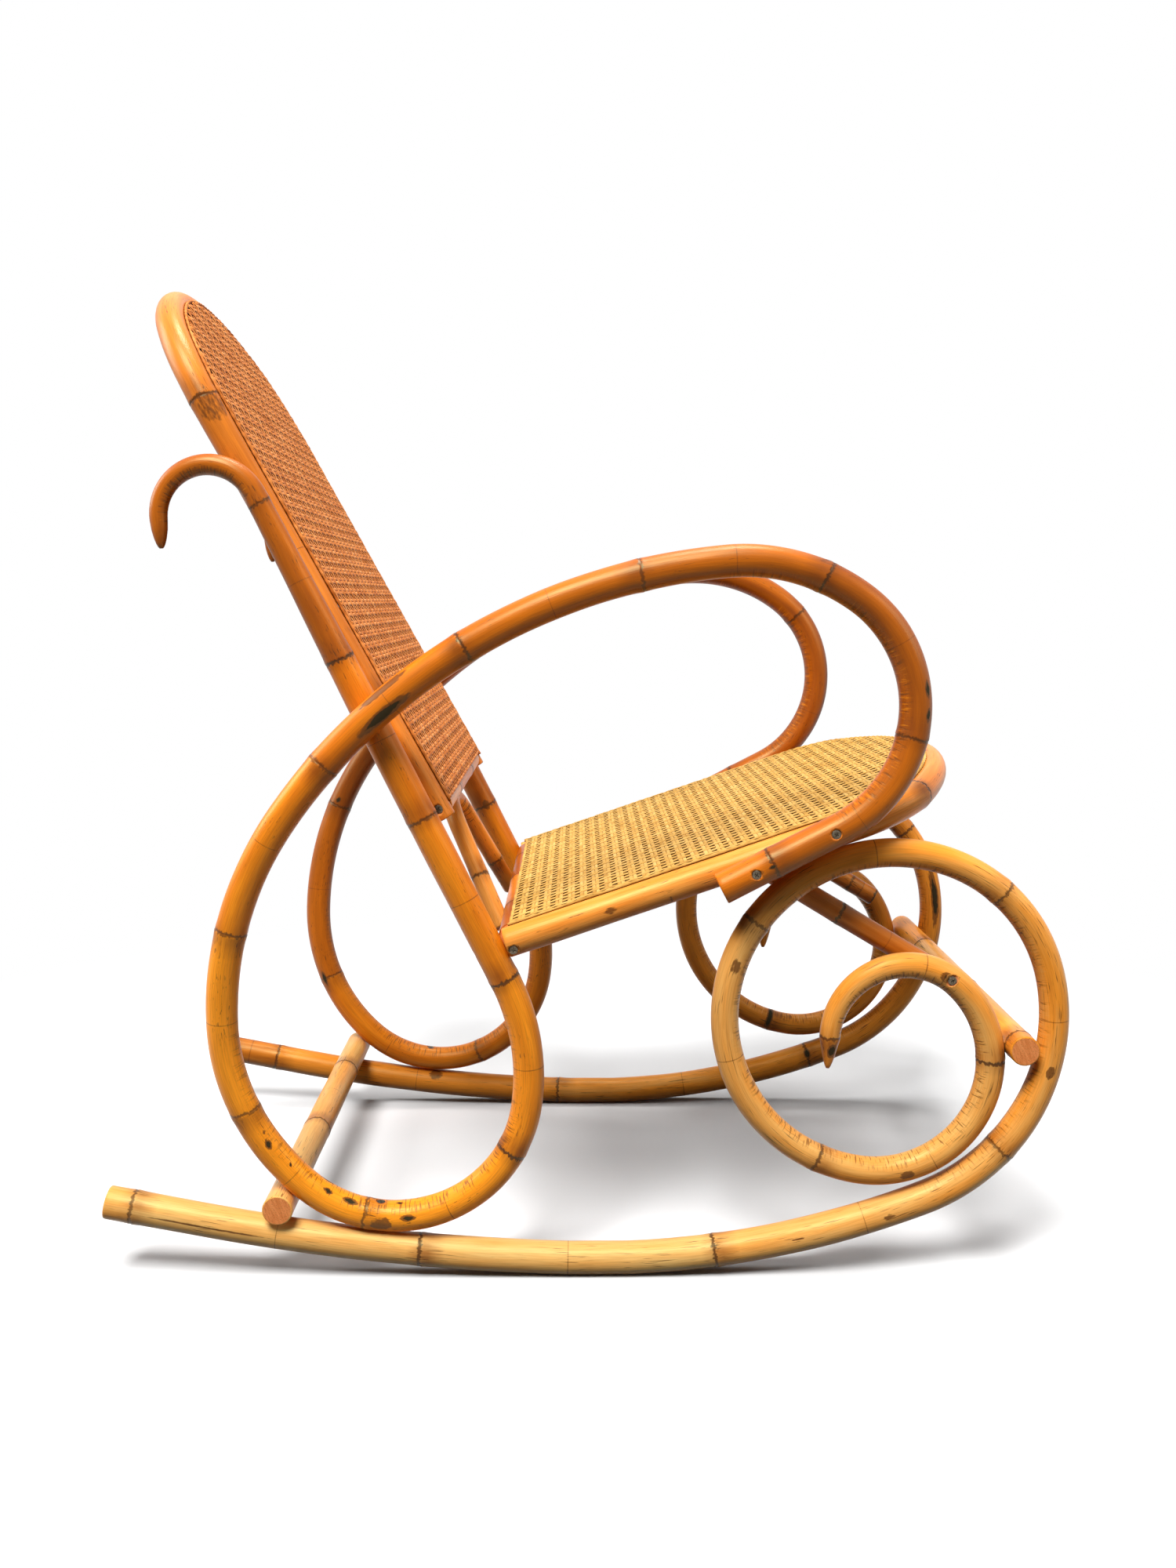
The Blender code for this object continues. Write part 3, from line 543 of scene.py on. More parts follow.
    # Scorched spots: black inside, brown at the ragged edge
    edge = add(tree, "MapRange", {0: rag, 1: 0.25, 2: 0.75, 3: -0.13, 4: 0.13}).outputs[0]
    burn = add(tree, "Math", {0: scorch, 1: edge}, operation="ADD").outputs[0]
    brown = add(tree, "MapRange", {0: burn, 1: -0.06, 2: 0.10, 3: 0.0, 4: 0.85}).outputs[0]
    black = add(tree, "MapRange", {0: burn, 1: 0.28, 2: 0.42, 3: 0.0, 4: 0.95}).outputs[0]
    browned = add(tree, "Mix", {0: brown, 6: ringed, 7: linear("5e2c0c")}, data_type="RGBA").outputs[2]
    burnt = add(tree, "Mix", {0: black, 6: browned, 7: linear("0e0704")}, data_type="RGBA").outputs[2]
    tree.links.new(burnt, shader.inputs["Base Color"])

    # The lacquer lies evenly, but soaks into the burnt spots and leaves them dull
    gloss = add(tree, "MapRange", {0: drift, 1: 0.3, 2: 0.7, 3: 0.40, 4: 0.30}).outputs[0]
    dulled = add(tree, "Math", {0: black, 1: 0.45, 2: gloss}, operation="MULTIPLY_ADD").outputs[0]
    tree.links.new(dulled, shader.inputs["Roughness"])
    dents = add(tree, "Math", {0: crack, 1: -1.2, 2: fibre}, operation="MULTIPLY_ADD").outputs[0]
    pits = add(tree, "Math", {0: fleck, 1: -0.6, 2: dents}, operation="MULTIPLY_ADD").outputs[0]
    grooves = add(tree, "Math", {0: line, 1: -0.4, 2: pits}, operation="MULTIPLY_ADD").outputs[0]
    bump = add(tree, "Bump", {"Strength": 0.30, "Distance": 0.0005, "Height": grooves})
    tree.links.new(bump.outputs["Normal"], shader.inputs["Normal"])
    shader.inputs["IOR"].default_value = 1.5
    shader.inputs["Specular IOR Level"].default_value = shine
    shader.inputs["Specular Tint"].default_value = linear("f4ffbe")
    return finish


def sawn_cane_end(name):
    """Sawn end of a rattan pole: solid, with pores about 1 mm apart, drawn 1.5 mm apart to show."""
    finish, tree, shader = new_finish(name)
    run = add(tree, "Attribute", {}, attribute_name="cane_run").outputs["Vector"]
    pore_at = add(tree, "VectorMath", {0: run, 1: (0, 650, 650)}, operation="MULTIPLY").outputs[0]
    pores = add(tree, "TexVoronoi", {"Vector": pore_at, "Scale": 1.0}).outputs["Distance"]
    dark = add(tree, "MapRange", {0: pores, 1: 0.12, 2: 0.32, 3: 0.75, 4: 0.0}).outputs[0]
    saw_at = add(tree, "VectorMath", {0: run, 1: (0, 60, 420)}, operation="MULTIPLY").outputs[0]
    saw = add(tree, "TexNoise", {"Vector": saw_at, "Scale": 1.0, "Detail": 3.0}).outputs["Fac"]
    tints = add(tree, "ValToRGB", {"Fac": saw})
    set_stops(tints.color_ramp, ((0.3, "cc7030"), (0.7, "e89250")))
    sawn = tints.outputs["Color"]
    pored = add(tree, "Mix", {0: dark, 6: sawn, 7: linear("8a4718")}, data_type="RGBA").outputs[2]
    tree.links.new(pored, shader.inputs["Base Color"])
    dull = add(tree, "MapRange", {0: saw, 1: 0.3, 2: 0.7, 3: 0.62, 4: 0.75}).outputs[0]
    tree.links.new(dull, shader.inputs["Roughness"])
    bump = add(tree, "Bump", {"Strength": 0.4, "Distance": 0.0004, "Height": pores})
    tree.links.new(bump.outputs["Normal"], shader.inputs["Normal"])
    return finish


def split_strand(name, deep, mid, pale, crevice_shade_colour):
    """Peeled rattan split into thin strands and woven, then brushed with the same lacquer.

    The eye sees each strand in its own tone, with fine fibres along it; its darker sides and underside are
    painted shade.
    """
    finish, tree, shader = new_finish(name)
    run = add(tree, "Attribute", {}, attribute_name="strand_run").outputs["Vector"]
    tone = add(tree, "Attribute", {}, attribute_name="strand_tone").outputs["Fac"]
    # Fibres about 0.8 mm wide and 25 mm long
    fibre_at = add(tree, "VectorMath", {0: run, 1: (40, 1200, 1200)}, operation="MULTIPLY").outputs[0]
    fibre = add(tree, "TexNoise", {"Vector": fibre_at, "Scale": 1.0, "Detail": 3.0}).outputs["Fac"]
    # Drift of colour over about 45 mm along a strand
    drift_at = add(tree, "VectorMath", {0: run, 1: (22, 50, 50)}, operation="MULTIPLY").outputs[0]
    drift = add(tree, "TexNoise", {"Vector": drift_at, "Scale": 1.0, "Detail": 2.0}).outputs["Fac"]
    shade = add(tree, "Math", {0: tone, 1: 0.07, 2: drift}, operation="MULTIPLY_ADD").outputs[0]
    tints = add(tree, "ValToRGB", {"Fac": shade})
    set_stops(tints.color_ramp, ((0.28, deep), (0.50, mid), (0.72, pale)))
    streak = add(tree, "MapRange", {0: fibre, 1: 0.30, 2: 0.55, 3: 0.35, 4: 0.0}).outputs[0]
    toned = tints.outputs["Color"]
    split = add(tree, "Mix", {0: streak, 6: toned, 7: linear(deep)}, data_type="RGBA").outputs[2]
    # Painted shade: dark brown on the strands' sides and undersides, deepest in the open slits of the weave
    crevice_shade = add(tree, "Attribute", {}, attribute_name="crevice_shade").outputs["Fac"]
    crevice_shade_amount = add(tree, "MapRange", {0: crevice_shade, 1: 0.15, 2: 0.65, 3: 0.0, 4: 0.95}).outputs[0]
    crevice_shaded = add(tree, "Mix", {0: crevice_shade_amount, 6: split, 7: linear(crevice_shade_colour)}, data_type="RGBA").outputs[2]
    tree.links.new(crevice_shaded, shader.inputs["Base Color"])
    gloss = add(tree, "MapRange", {0: drift, 1: 0.3, 2: 0.7, 3: 0.52, 4: 0.40}).outputs[0]
    tree.links.new(gloss, shader.inputs["Roughness"])
    bump = add(tree, "Bump", {"Strength": 0.25, "Distance": 0.0003, "Height": fibre})
    tree.links.new(bump.outputs["Normal"], shader.inputs["Normal"])
    shader.inputs["IOR"].default_value = 1.5
    shader.inputs["Specular IOR Level"].default_value = 0.05
    return finish


def zinc_screw(name):
    """Zinc-plated steel wood screw, gone dull: grey with brown stains about 2 mm across."""
    finish, tree, shader = new_finish(name)
    place = add(tree, "TexCoord", {}).outputs["Object"]
    wear = add(tree, "TexNoise", {"Vector": place, "Scale": 500.0, "Detail": 3.0}).outputs["Fac"]
    tints = add(tree, "ValToRGB", {"Fac": wear})
    set_stops(tints.color_ramp, ((0.35, "4a3e30"), (0.65, "716859")))
    tree.links.new(tints.outputs["Color"], shader.inputs["Base Color"])
    rough = add(tree, "MapRange", {0: wear, 1: 0.3, 2: 0.7, 3: 0.55, 4: 0.35}).outputs[0]
    tree.links.new(rough, shader.inputs["Roughness"])
    shader.inputs["Metallic"].default_value = 1.0
    return finish


FINISHES = {
    "arm_cane": lacquered_cane("orange_lacquered_cane", "803806", "cf6c0c", "ff9c20", 8.0, 0.3, 0.34),
    "rocker_cane": lacquered_cane("straw_lacquered_cane", "9c500c", "ec922e", "e4b86e", 26.0, 0.6, 0.26),
    "frame_cane": lacquered_cane("tan_lacquered_cane", "924206", "e48226", "fcb85e", 12.0, 0.4, 0.30),
    "sawn_end": sawn_cane_end("sawn_cane_end"),
    # The last colour of each woven finish is painted shade on the strands' sides and undersides
    "woven_seat": split_strand("straw_split_strand", "a27632", "be934a", "cca75e", "4c2a0c"),
    "woven_back": split_strand("tan_split_strand", "a2551c", "cc7a38", "e29854", "401804"),
    "screw_steel": zinc_screw("dull_zinc_steel"),
}


# Making meshes

def place_piece(name, vertices, faces, nodes, floats, vectors, finishes, cut_faces=()):
    """A mesh piece with its attributes and finishes, riding on the chair in place of its nodes."""
    mesh = bpy.data.meshes.new(name)
    mesh.from_pydata(vertices.tolist(), [], faces)
    for key, values in floats.items():
        layer = mesh.attributes.new(key, "FLOAT", "POINT")
        layer.data.foreach_set("value", values.astype(np.float32))
    for key, values in vectors.items():
        layer = mesh.attributes.new(key, "FLOAT_VECTOR", "POINT")
        layer.data.foreach_set("vector", values.astype(np.float32).ravel())
    for finish in finishes:
        mesh.materials.append(finish)
    mesh.polygons.foreach_set("use_smooth", [True] * len(mesh.polygons))
    for i in cut_faces:
        mesh.polygons[i].material_index = 1
        mesh.polygons[i].use_smooth = False
    mesh.update()
    made = bpy.data.objects.new(name, mesh)
    bpy.context.scene.collection.objects.link(made)
    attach(made, "root")
    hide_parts(*nodes)
    return made


def run_along(points):
    """How far each point of a line lies from the first one, along the line."""
    steps = np.linalg.norm(np.diff(points, axis=0), axis=1)
    return np.concatenate(([0.0], np.cumsum(steps)))


def point_at(run, runs, points):
    """Points at given runs of a line."""
    return np.stack([np.interp(run, runs, c) for c in points.T], -1)


def unit(vectors):
    return vectors / np.linalg.norm(vectors, axis=-1, keepdims=True)


# Rings of a cane's mesh: even ones, and more by each joint, at a sawn end's edge, at a tip and in a cap
RING_STEP = 0.005
AT_JOINT = [s * d * MM for d in (0.5, 1.0, 1.6, 2.4, 3.6, 5.6, 8.0) for s in (-1, 1)] + [0.0]
JOINT_CLEAR = 0.009
EDGE_ROUND = 0.0016
NEAR_END = [EDGE_ROUND * share for share in (0.0, 0.12, 0.4, 1.0)]
TIP_RINGS = (0.3, 0.5, 0.7, 0.85, 0.95)
CAP_RINGS = (0.66, 0.33)

# A joint on a cane of the arm's size: heights in mm, and how far each reaches along the cane
JOINT_SWELL = 0.55
SWELL_REACH = 0.007
JOINT_GROOVE = 0.35
GROOVE_REACH = 0.0010
JOINT_LIP = 0.18
LIP_STEP = 0.0020
LIP_REACH = 0.010
SKEW_REACH = 0.012
# By chance: how far a joint tilts and is ragged, in mm, how dark it is, and how tones differ
JOINT_TILT = (0.2, 1.2)
JOINT_RAG = (0.1, 0.5)
JOINT_DARK = (0.7, 1.0)
TONE_CHANCE = 0.5
TONE_CHANCE_LEFT = 0.15

# How a cane's thickness and roundness wander: waves in radians per metre and shares of the radius
THICK_WAVES = (9.0, 23.0, 51.0)
THICK_SHARE = 0.014
OVAL_WAVES = (6.0, 17.0)
OVAL_SHARE = 0.012
OVAL_TURN_WAVES = (4.0, 9.0)
OVAL_TURN = 2.0
ANY_PHASE = 6.28
WAVE_STRETCH = (0.6, 1.4)
TIP_TAPER = 0.35

# What a cane's finish reads: the bend is measured this far to each side, and a seed shifts the pattern
BEND_REACH = 0.01
PATTERN_SHIFT = 3.7
JOINT_FAR = 0.06
UNBURNT = -1.0
CAP_VALUES = {"joint_line": JOINT_FAR, "joint_dark": 0.0, "section_tone": 0.0, "scorch": UNBURNT, "bend": 0.0}


class Cane:
    """A centreline measured by its run from its first end, with the joints that grew on it."""

    def __init__(self, line, widths, across, joints, seed):
        self.points = np.array([tuple(p) for p in line])
        self.run = run_along(self.points)
        self.length = self.run[-1]
        self.widths = np.array(widths)
        self.across = np.array(across)
        self.draw = random.Random(seed)
        self.seed = seed
        self.joints = sorted(joints)

    def at(self, run):
        return point_at(run, self.run, self.points)

    def along(self, run, reach=0.003):
        return unit(self.at(np.minimum(run + reach, self.length)) - self.at(np.maximum(run - reach, 0.0)))

    def run_at(self, pixel):
        """The run whose centreline point shows nearest to a pixel of the photograph."""
        runs = np.arange(0.0, self.length, RING_STEP / 2)
        apart = seen(self.at(runs)) - np.array(pixel)
        return float(runs[np.argmin((apart ** 2).sum(-1))])

    def stations(self, tip):
        """Runs of the mesh rings: even, with more at the joints and the ends."""
        runs = np.linspace(0.0, self.length, max(3, round(self.length / RING_STEP)))
        keep = (runs > EDGE_ROUND * 2) & (runs < self.length - EDGE_ROUND * 2)
        for joint in self.joints:
            keep &= abs(runs - joint) > JOINT_CLEAR
        extra = [joint + d for joint in self.joints for d in AT_JOINT] + NEAR_END
        if tip:
            extra += [self.length - tip * (1.0 - share) for share in TIP_RINGS]
            keep &= runs < self.length - tip
        else:
            extra += [self.length - e for e in NEAR_END]
        extra = [e for e in extra if 0.0 <= e <= self.length]
        return np.unique(np.round(np.concatenate((runs[keep], extra)), 6))


def wave(draw, waves, reach):
    """A gentle seeded wander along a run: a sum of a few sines."""
    terms = [(draw.uniform(*WAVE_STRETCH) * w, draw.uniform(0.0, ANY_PHASE)) for w in waves]
    return lambda run: reach * sum(np.sin(run * w + p) for w, p in terms) / len(terms)


def grow_cane(name, cane, slot, nodes, sides=28, tip=0.0, marks=(), tones=(), tone=0.0):
    """The skin of a cane: rings that swell at each joint, with rounded sawn ends or a tapered tip."""
    draw = cane.draw
    stations = cane.stations(tip)
    turns = np.arange(sides) * 2.0 * math.pi / sides
    run, turn = np.meshgrid(stations, turns, indexing="ij")
    joints = np.array(cane.joints if cane.joints else [-1.0])
    nearest = np.argmin(abs(run[..., None] - joints), -1)
    off = run - joints[nearest]
    tilt = np.array([draw.uniform(*JOINT_TILT) * MM for _ in joints])[nearest]
    lean = np.array([draw.uniform(0.0, ANY_PHASE) for _ in joints])[nearest]
    rag = np.array([draw.uniform(*JOINT_RAG) * MM for _ in joints])[nearest]
    skew = tilt * np.sin(turn + lean) + rag * np.sin(3.0 * turn + 2.0 * lean)
    moved = np.clip(run + skew * np.exp(-(off / SKEW_REACH) ** 2), 0.0, cane.length)

    centre = cane.at(moved)
    along = cane.along(moved)
    first = unit(cane.across - along * (along @ cane.across)[..., None])
    second = np.cross(along, first)
    out = first * np.cos(turn)[..., None] + second * np.sin(turn)[..., None]

    radius = np.interp(moved, cane.run, cane.widths) / 2
    size = radius / (ARM_CANE / 2)
    thick = wave(draw, THICK_WAVES, THICK_SHARE)(run)
    oval = wave(draw, OVAL_WAVES, OVAL_SHARE)(run)
    oval = oval * np.cos(2.0 * turn + wave(draw, OVAL_TURN_WAVES, OVAL_TURN)(run))
    radius = radius * (1.0 + thick + oval)
    swell = JOINT_SWELL * np.exp(-(off / SWELL_REACH) ** 2)
    groove = JOINT_GROOVE * np.exp(-(off / GROOVE_REACH) ** 2)
    lip = JOINT_LIP * np.tanh(off / LIP_STEP) * np.exp(-(off / LIP_REACH) ** 2)
    radius = radius + (swell - groove + lip) * MM * size
    from_end = np.minimum(run, np.where(tip > 0.0, 1.0, cane.length - run))
    sunk = np.clip(1.0 - from_end / EDGE_ROUND, 0.0, 1.0)
    radius = radius - EDGE_ROUND * (1.0 - np.sqrt(1.0 - sunk ** 2))
    if tip:
        gone = np.clip((run - cane.length + tip) / tip, 0.0, 1.0)
        radius = radius * (1.0 - TIP_TAPER * gone) * np.sqrt(np.maximum(1.0 - gone ** 4, 0.01))
    points = centre + out * radius[..., None]

    later = cane.along(np.minimum(moved + BEND_REACH, cane.length))
    sooner = cane.along(np.maximum(moved - BEND_REACH, 0.0))
    bend = -((later - sooner) / (2.0 * BEND_REACH) * out).sum(-1)
    shift = cane.seed * PATTERN_SHIFT
    spread = np.stack((moved + shift, radius * np.cos(turn), radius * np.sin(turn)), -1)
    sections = range(len(cane.joints) + 1)
    shades = np.array([tone + draw.uniform(-TONE_CHANCE, TONE_CHANCE) for _ in sections])
    if len(tones):
        shades = np.array(tones) + TONE_CHANCE_LEFT * shades
    section = np.searchsorted(np.array(cane.joints), stations, side="right")
    shade = np.repeat(shades[section][:, None], sides, 1)
    dark = np.array([draw.uniform(*JOINT_DARK) for _ in joints])[nearest]
    values = {
        "joint_line": np.clip(off, -JOINT_FAR, JOINT_FAR),
        "joint_dark": dark,
        "section_tone": shade,
        "scorch": burn_marks(marks, points, out, run, turn, radius),
        "bend": bend,
    }
    vertices, faces, runs, floats, cut_faces = close_ends(points, centre, spread, values, tip)
    finishes = [FINISHES[slot], FINISHES["sawn_end"]]
    return place_piece(name, vertices, faces, nodes, floats, {"cane_run": runs}, finishes, cut_faces)


def burn_marks(marks, points, out, run, turn, radius):
    """How burnt each point is: above nought inside a mark, and more towards the mark's middle."""
    scorch = np.full(run.shape, UNBURNT)
    pixels = seen(points)
    faced = ((points - np.array(EYE)) * out).sum(-1) < 0.0
    for pixel, half_long, half_wide, most in marks:
        apart = ((pixels - np.array(pixel)) ** 2).sum(-1) + np.where(faced, 0.0, 1e9)
        i, j = np.unravel_index(np.argmin(apart), apart.shape)
        round_by = (turn - turn[i, j] + math.pi) % (2.0 * math.pi) - math.pi
        reach = ((run - run[i, j]) / (half_long * MM)) ** 2 + (round_by * radius / (half_wide * MM)) ** 2
        scorch = np.maximum(scorch, np.minimum(1.0 - np.sqrt(reach), most))
    return scorch


def close_ends(points, centre, spread, values, tip):
    """Faces of a cane's grid of points, closed at both ends by flat rings and a middle point.

    Gives the vertices, the faces, the runs and values at the vertices, and which faces are sawn.
    """
    rows, sides = points.shape[:2]
    faces = []
    for i in range(rows - 1):
        for j in range(sides):
            k = (j + 1) % sides
            faces.append((i * sides + j, i * sides + k, (i + 1) * sides + k, (i + 1) * sides + j))
    vertices = [points.reshape(-1, 3)]
    runs = [spread.reshape(-1, 3)]
    floats = {key: [grid.ravel()] for key, grid in values.items()}
    count = rows * sides
    cut_faces = []
    for row, flip in ((0, True), (rows - 1, False)):
        rim = [row * sides + j for j in range(sides)]
        middle = centre[row].mean(0)
        for share in CAP_RINGS + (0.0,):
            loop = middle + (points[row] - middle) * share
            flat_run = spread[row] * np.array((1.0, share, share))
            if share == 0.0:
                loop, flat_run = loop[:1], flat_run[:1]
            vertices.append(loop)
            runs.append(flat_run)
            for key, filler in CAP_VALUES.items():
                floats[key].append(np.full(len(loop), filler))
            inner = list(range(count, count + len(loop)))
            count += len(loop)
            for j in range(sides):
                k = (j + 1) % sides
                if share == 0.0:
                    face = (rim[j], rim[k], inner[0])
                else:
                    face = (rim[j], rim[k], inner[k], inner[j])
                if not (tip and row):
                    cut_faces.append(len(faces))
                faces.append(face[::-1] if flip else face)
            rim = inner
    floats = {key: np.concatenate(parts) for key, parts in floats.items()}
    return np.concatenate(vertices), faces, np.concatenate(runs), floats, cut_faces


# Weave

# Across, up, and how much painted shade it takes, for each corner of a strand's section: none on top, most on
# the sides and underside
STRAND_SECTION = (
    (-0.5, 0.28, 0.9), (-0.38, 0.5, 0.0), (0.38, 0.5, 0.0),
    (0.5, 0.28, 0.9), (0.46, -0.5, 1.0), (-0.46, -0.5, 1.0))
# How far the pattern moves on, along and across, from one strand to the next
STRAND_SHIFT = 1.31
STRAND_SIDE_SHIFT = 0.37
# Shares of the strand's width by chance, and how much painted shade the sides take where the weave is closed
STRAND_WIDTHS = (0.92, 1.04)
CLOSED_CREVICE_SHADE = 0.25
# How sharply the weave opens between the cross strands; the painted shade on a strand's open side deepens
# there
OPENS = 1.6
OPENS_LATE = 0.2


def strands(name, lines, width, normal, slot, nodes, seed):
    """Flat split strands, all in one piece.

    Each line has its points, its sideways direction, the side its partner lies on and how open
    the weave is beside each point.
    """
    draw = random.Random(seed)
    vertices, faces, runs, tones, crevice_shades = [], [], [], [], []
    count = 0
    sides = len(STRAND_SECTION)
    corner_shades = np.array([deep for _, _, deep in STRAND_SECTION])
    normal = np.array(normal)
    for number, (points, aside, partner, gap) in enumerate(lines):
        rows = len(points)
        way = unit(np.gradient(points, axis=0))
        up = unit(normal - way * (way @ normal)[:, None])
        own = width * draw.uniform(*STRAND_WIDTHS)
        loops = [points + aside * (own * u) + up * (STRAND_THICK * v) for u, v, _ in STRAND_SECTION]
        vertices.append(np.stack(loops, 1).reshape(-1, 3))
        gone = np.arange(rows) * STRAND_STEP + number * STRAND_SHIFT
        across = np.array([u * own for u, _, _ in STRAND_SECTION])
        grid = np.stack(np.broadcast_arrays(gone[:, None], across, number * STRAND_SIDE_SHIFT), -1)
        runs.append(grid.reshape(-1, 3))
        tones.append(np.full(rows * sides, draw.uniform(-1.0, 1.0)))
        # Painted shade: the side away from the partner darkens where the weave is open
        open_side = np.array([1.0 if u * partner < 0.0 else 0.0 for u, _, _ in STRAND_SECTION])
        openness = (1.0 - CLOSED_CREVICE_SHADE) * open_side * gap[:, None]
        crevice_shades.append((corner_shades * (CLOSED_CREVICE_SHADE + openness)).ravel())
        for i in range(rows - 1):
            for j in range(sides):
                k = (j + 1) % sides
                a, b = count + i * sides, count + (i + 1) * sides
                faces.append((a + k, a + j, b + j, b + k))
        faces.append(tuple(count + j for j in range(sides)))
        faces.append(tuple(count + (rows - 1) * sides + j for j in range(sides))[::-1])
        count += rows * sides
    return place_piece(
        name, np.concatenate(vertices), faces, nodes,
        {"strand_tone": np.concatenate(tones), "crevice_shade": np.concatenate(crevice_shades)},
        {"strand_run": np.concatenate(runs)}, [FINISHES[slot]])


def weave(name, outline, pitch, origin, ahead, normal, height, slot, nodes, seed):
    """Pairs of long strands over and under pairs of cross strands, inside a U-shaped outline."""
    half = np.array([tuple(p) for p in outline[:len(outline) // 2 + 1]])
    top = half[:, 0].max()
    base = np.array(at_y(origin + normal * height, 0.0))
    way = np.array(at_y(ahead, 0.0))
    up = np.array(at_y(normal, 0.0))
    aside = np.array(Y_AXIS)
    draw = random.Random(seed)

    def tucked(run):
        """How far a strand's ends dip under the edge."""
        gone = np.arange(len(run)) * STRAND_STEP
        end = np.minimum(gone, gone[-1] - gone)
        return TUCK_DEEP * np.clip(1.0 - end / TUCK, 0.0, 1.0) ** 2

    start = WEAVE_START
    long_wide, cross_wide = LONG_SHARE * pitch, CROSS_SHARE * pitch
    edge = half[:, 1].max() - long_wide - WEAVE_EDGE_SPARE
    pairs = round(edge / pitch)
    long_pitch = edge / pairs
    long_lines, cross_lines = [], []
    for k in range(-pairs, pairs + 1):
        for hand in (-1, 1):
            y = k * long_pitch + hand * (long_wide / 2 + PAIR_HALF_GAP)
            inside = half[half[:, 1] >= abs(y)]
            last = inside[:, 0].max() if len(inside) else start
            if last - start < long_pitch:
                continue
            a = np.linspace(start, last, round((last - start) / STRAND_STEP))
            rise = LONG_RISE * np.cos(math.pi * (a - start) / pitch + math.pi * k) - tucked(a)
            wander = wave(draw, STRAND_WAVES, STRAND_WANDER)(a)
            points = base + np.outer(a, way) + np.outer(rise, up) + np.outer(y + wander, aside)
            gap = np.clip(OPENS * np.sin(math.pi * (a - start) / pitch) ** 2 - OPENS_LATE, 0.0, 1.0)
            long_lines.append((points, aside, -hand, gap))
    rows = int((top - start) / pitch)
    for j in range(rows + 1):
        for hand in (-1, 1):
            a = start + j * pitch + hand * (cross_wide / 2 + PAIR_HALF_GAP)
            inside = half[half[:, 0] >= a]
            if a < start or not len(inside):
                continue
            reach = inside[:, 1].max()
            if reach < long_pitch:
                continue
            y = np.linspace(-reach, reach, round(2.0 * reach / STRAND_STEP))
            rise = -CROSS_RISE * np.cos(math.pi * y / long_pitch + math.pi * j) - tucked(y)
            wander = wave(draw, STRAND_WAVES, STRAND_WANDER)(y)
            points = base + np.outer(a + wander, way) + np.outer(rise, up) + np.outer(y, aside)
            gap = np.sin(math.pi * y / long_pitch) ** 2
            cross_lines.append((points, -way, hand, gap))
    strands(name + "_weave_long", long_lines, long_wide, up, slot, nodes, seed + 1)
    strands(name + "_weave_cross", cross_lines, cross_wide, up, slot, nodes, seed + 2)


def spline(name, line, normal, slot, nodes, seed):
    """A thin reed pressed along the weave's edge, bulging a little between its stitches."""
    draw = random.Random(seed)
    points = np.array([tuple(p) for p in line])
    run = run_along(points)
    runs = np.arange(0.0, run[-1], SPLINE_STEP)
    middle = point_at(runs, run, points)
    way = unit(np.gradient(middle, axis=0))
    up = np.array(normal)
    side = np.cross(up, way)
    swell = 1.0 + STITCH_BULGE * np.sin(runs * 2.0 * math.pi / STITCH)
    swell = swell + wave(draw, SPLINE_WAVES, SPLINE_WANDER)(runs)
    sides = SPLINE_SIDES
    turns = np.arange(sides) * 2.0 * math.pi / sides
    wide, high = SPLINE_WIDE, SPLINE_HIGH
    offset = np.cos(turns)[None, :, None] * side[:, None, :] * (wide * swell)[:, None, None]
    offset = offset + np.sin(turns)[None, :, None] * up[None, None, :] * (high * swell)[:, None, None]
    grid = middle[:, None, :] + offset
    rows = len(runs)
    faces = [
        (i * sides + j, (i + 1) * sides + j, (i + 1) * sides + (j + 1) % sides, i * sides + (j + 1) % sides)
        for i in range(rows - 1) for j in range(sides)]
    faces.append(tuple(range(sides)))
    faces.append(tuple((rows - 1) * sides + j for j in range(sides))[::-1])
    spread = np.stack(np.broadcast_arrays(runs[:, None], np.cos(turns) * wide, np.sin(turns) * high), -1)
    # Painted shade in the pinches: paler where the reed swells, darker where it is thinner, most at the
    # stitches
    tone = np.repeat((swell - SPLINE_SWELL_MID)[:, None] * SPLINE_SWELL_SHADE, sides, 1)
    # Painted shade: darker on the reed's underside
    crevice_shade = np.tile(np.clip(SPLINE_UNDERSIDE_SHADE - np.sin(turns), 0.0, 1.0), rows)
    return place_piece(
        name, grid.reshape(-1, 3), faces, nodes,
        {"strand_tone": tone.ravel(), "crevice_shade": crevice_shade},
        {"strand_run": spread.reshape(-1, 3)}, [FINISHES[slot]])


def panel(name, outline, pitch, origin, way, up, lift, slot, seed):
    """A woven panel on its frame, with the spline along its edge."""
    inside = inset(outline, WEAVE_IN)
    weave(name, inside, pitch, origin, way, up, lift + WEAVE_LIFT, slot, [name + "_panel"], seed)
    line = lay(inset(outline, BEAD / 2), origin, way, up, lift + SPLINE_LIFT)
    spline(name + "_edge_spline", line, at_y(up, 0.0), slot, [name + "_bead"], seed + 1)


# Screws

SCREW_SIDES = 24
# Radius and depth in mm, down from the head: of a screw, and of the hole bored for it
HEAD_PROFILE = (
    (0.0, -0.30), (3.0, -0.26), (4.45, -0.10), (4.75, 0.05), (4.75, 0.6), (2.0, 2.8), (2.0, 12.0),
    (0.0, 12.0))
HOLE_PROFILE = (
    (0.0, -12.0), (5.5, -12.0), (5.5, -0.2), (5.2, 0.7), (2.3, 3.2), (2.3, 13.0), (0.0, 13.0))
# The cross recess in mm: length, width, depth and how far above the head its cutter starts, then its taper
CROSS_LONG = 5.4
CROSS_WIDE = 1.15
CROSS_DEEP = 1.7
CROSS_ABOVE = 1.0
CROSS_TAPER = 0.5
# The screw in the curl stands in a slot this many times as long as wide
CURL_SLOT = 1.5
# A packed screw's end points lie within this of its end, along its axis
END_SLICE = 0.0003
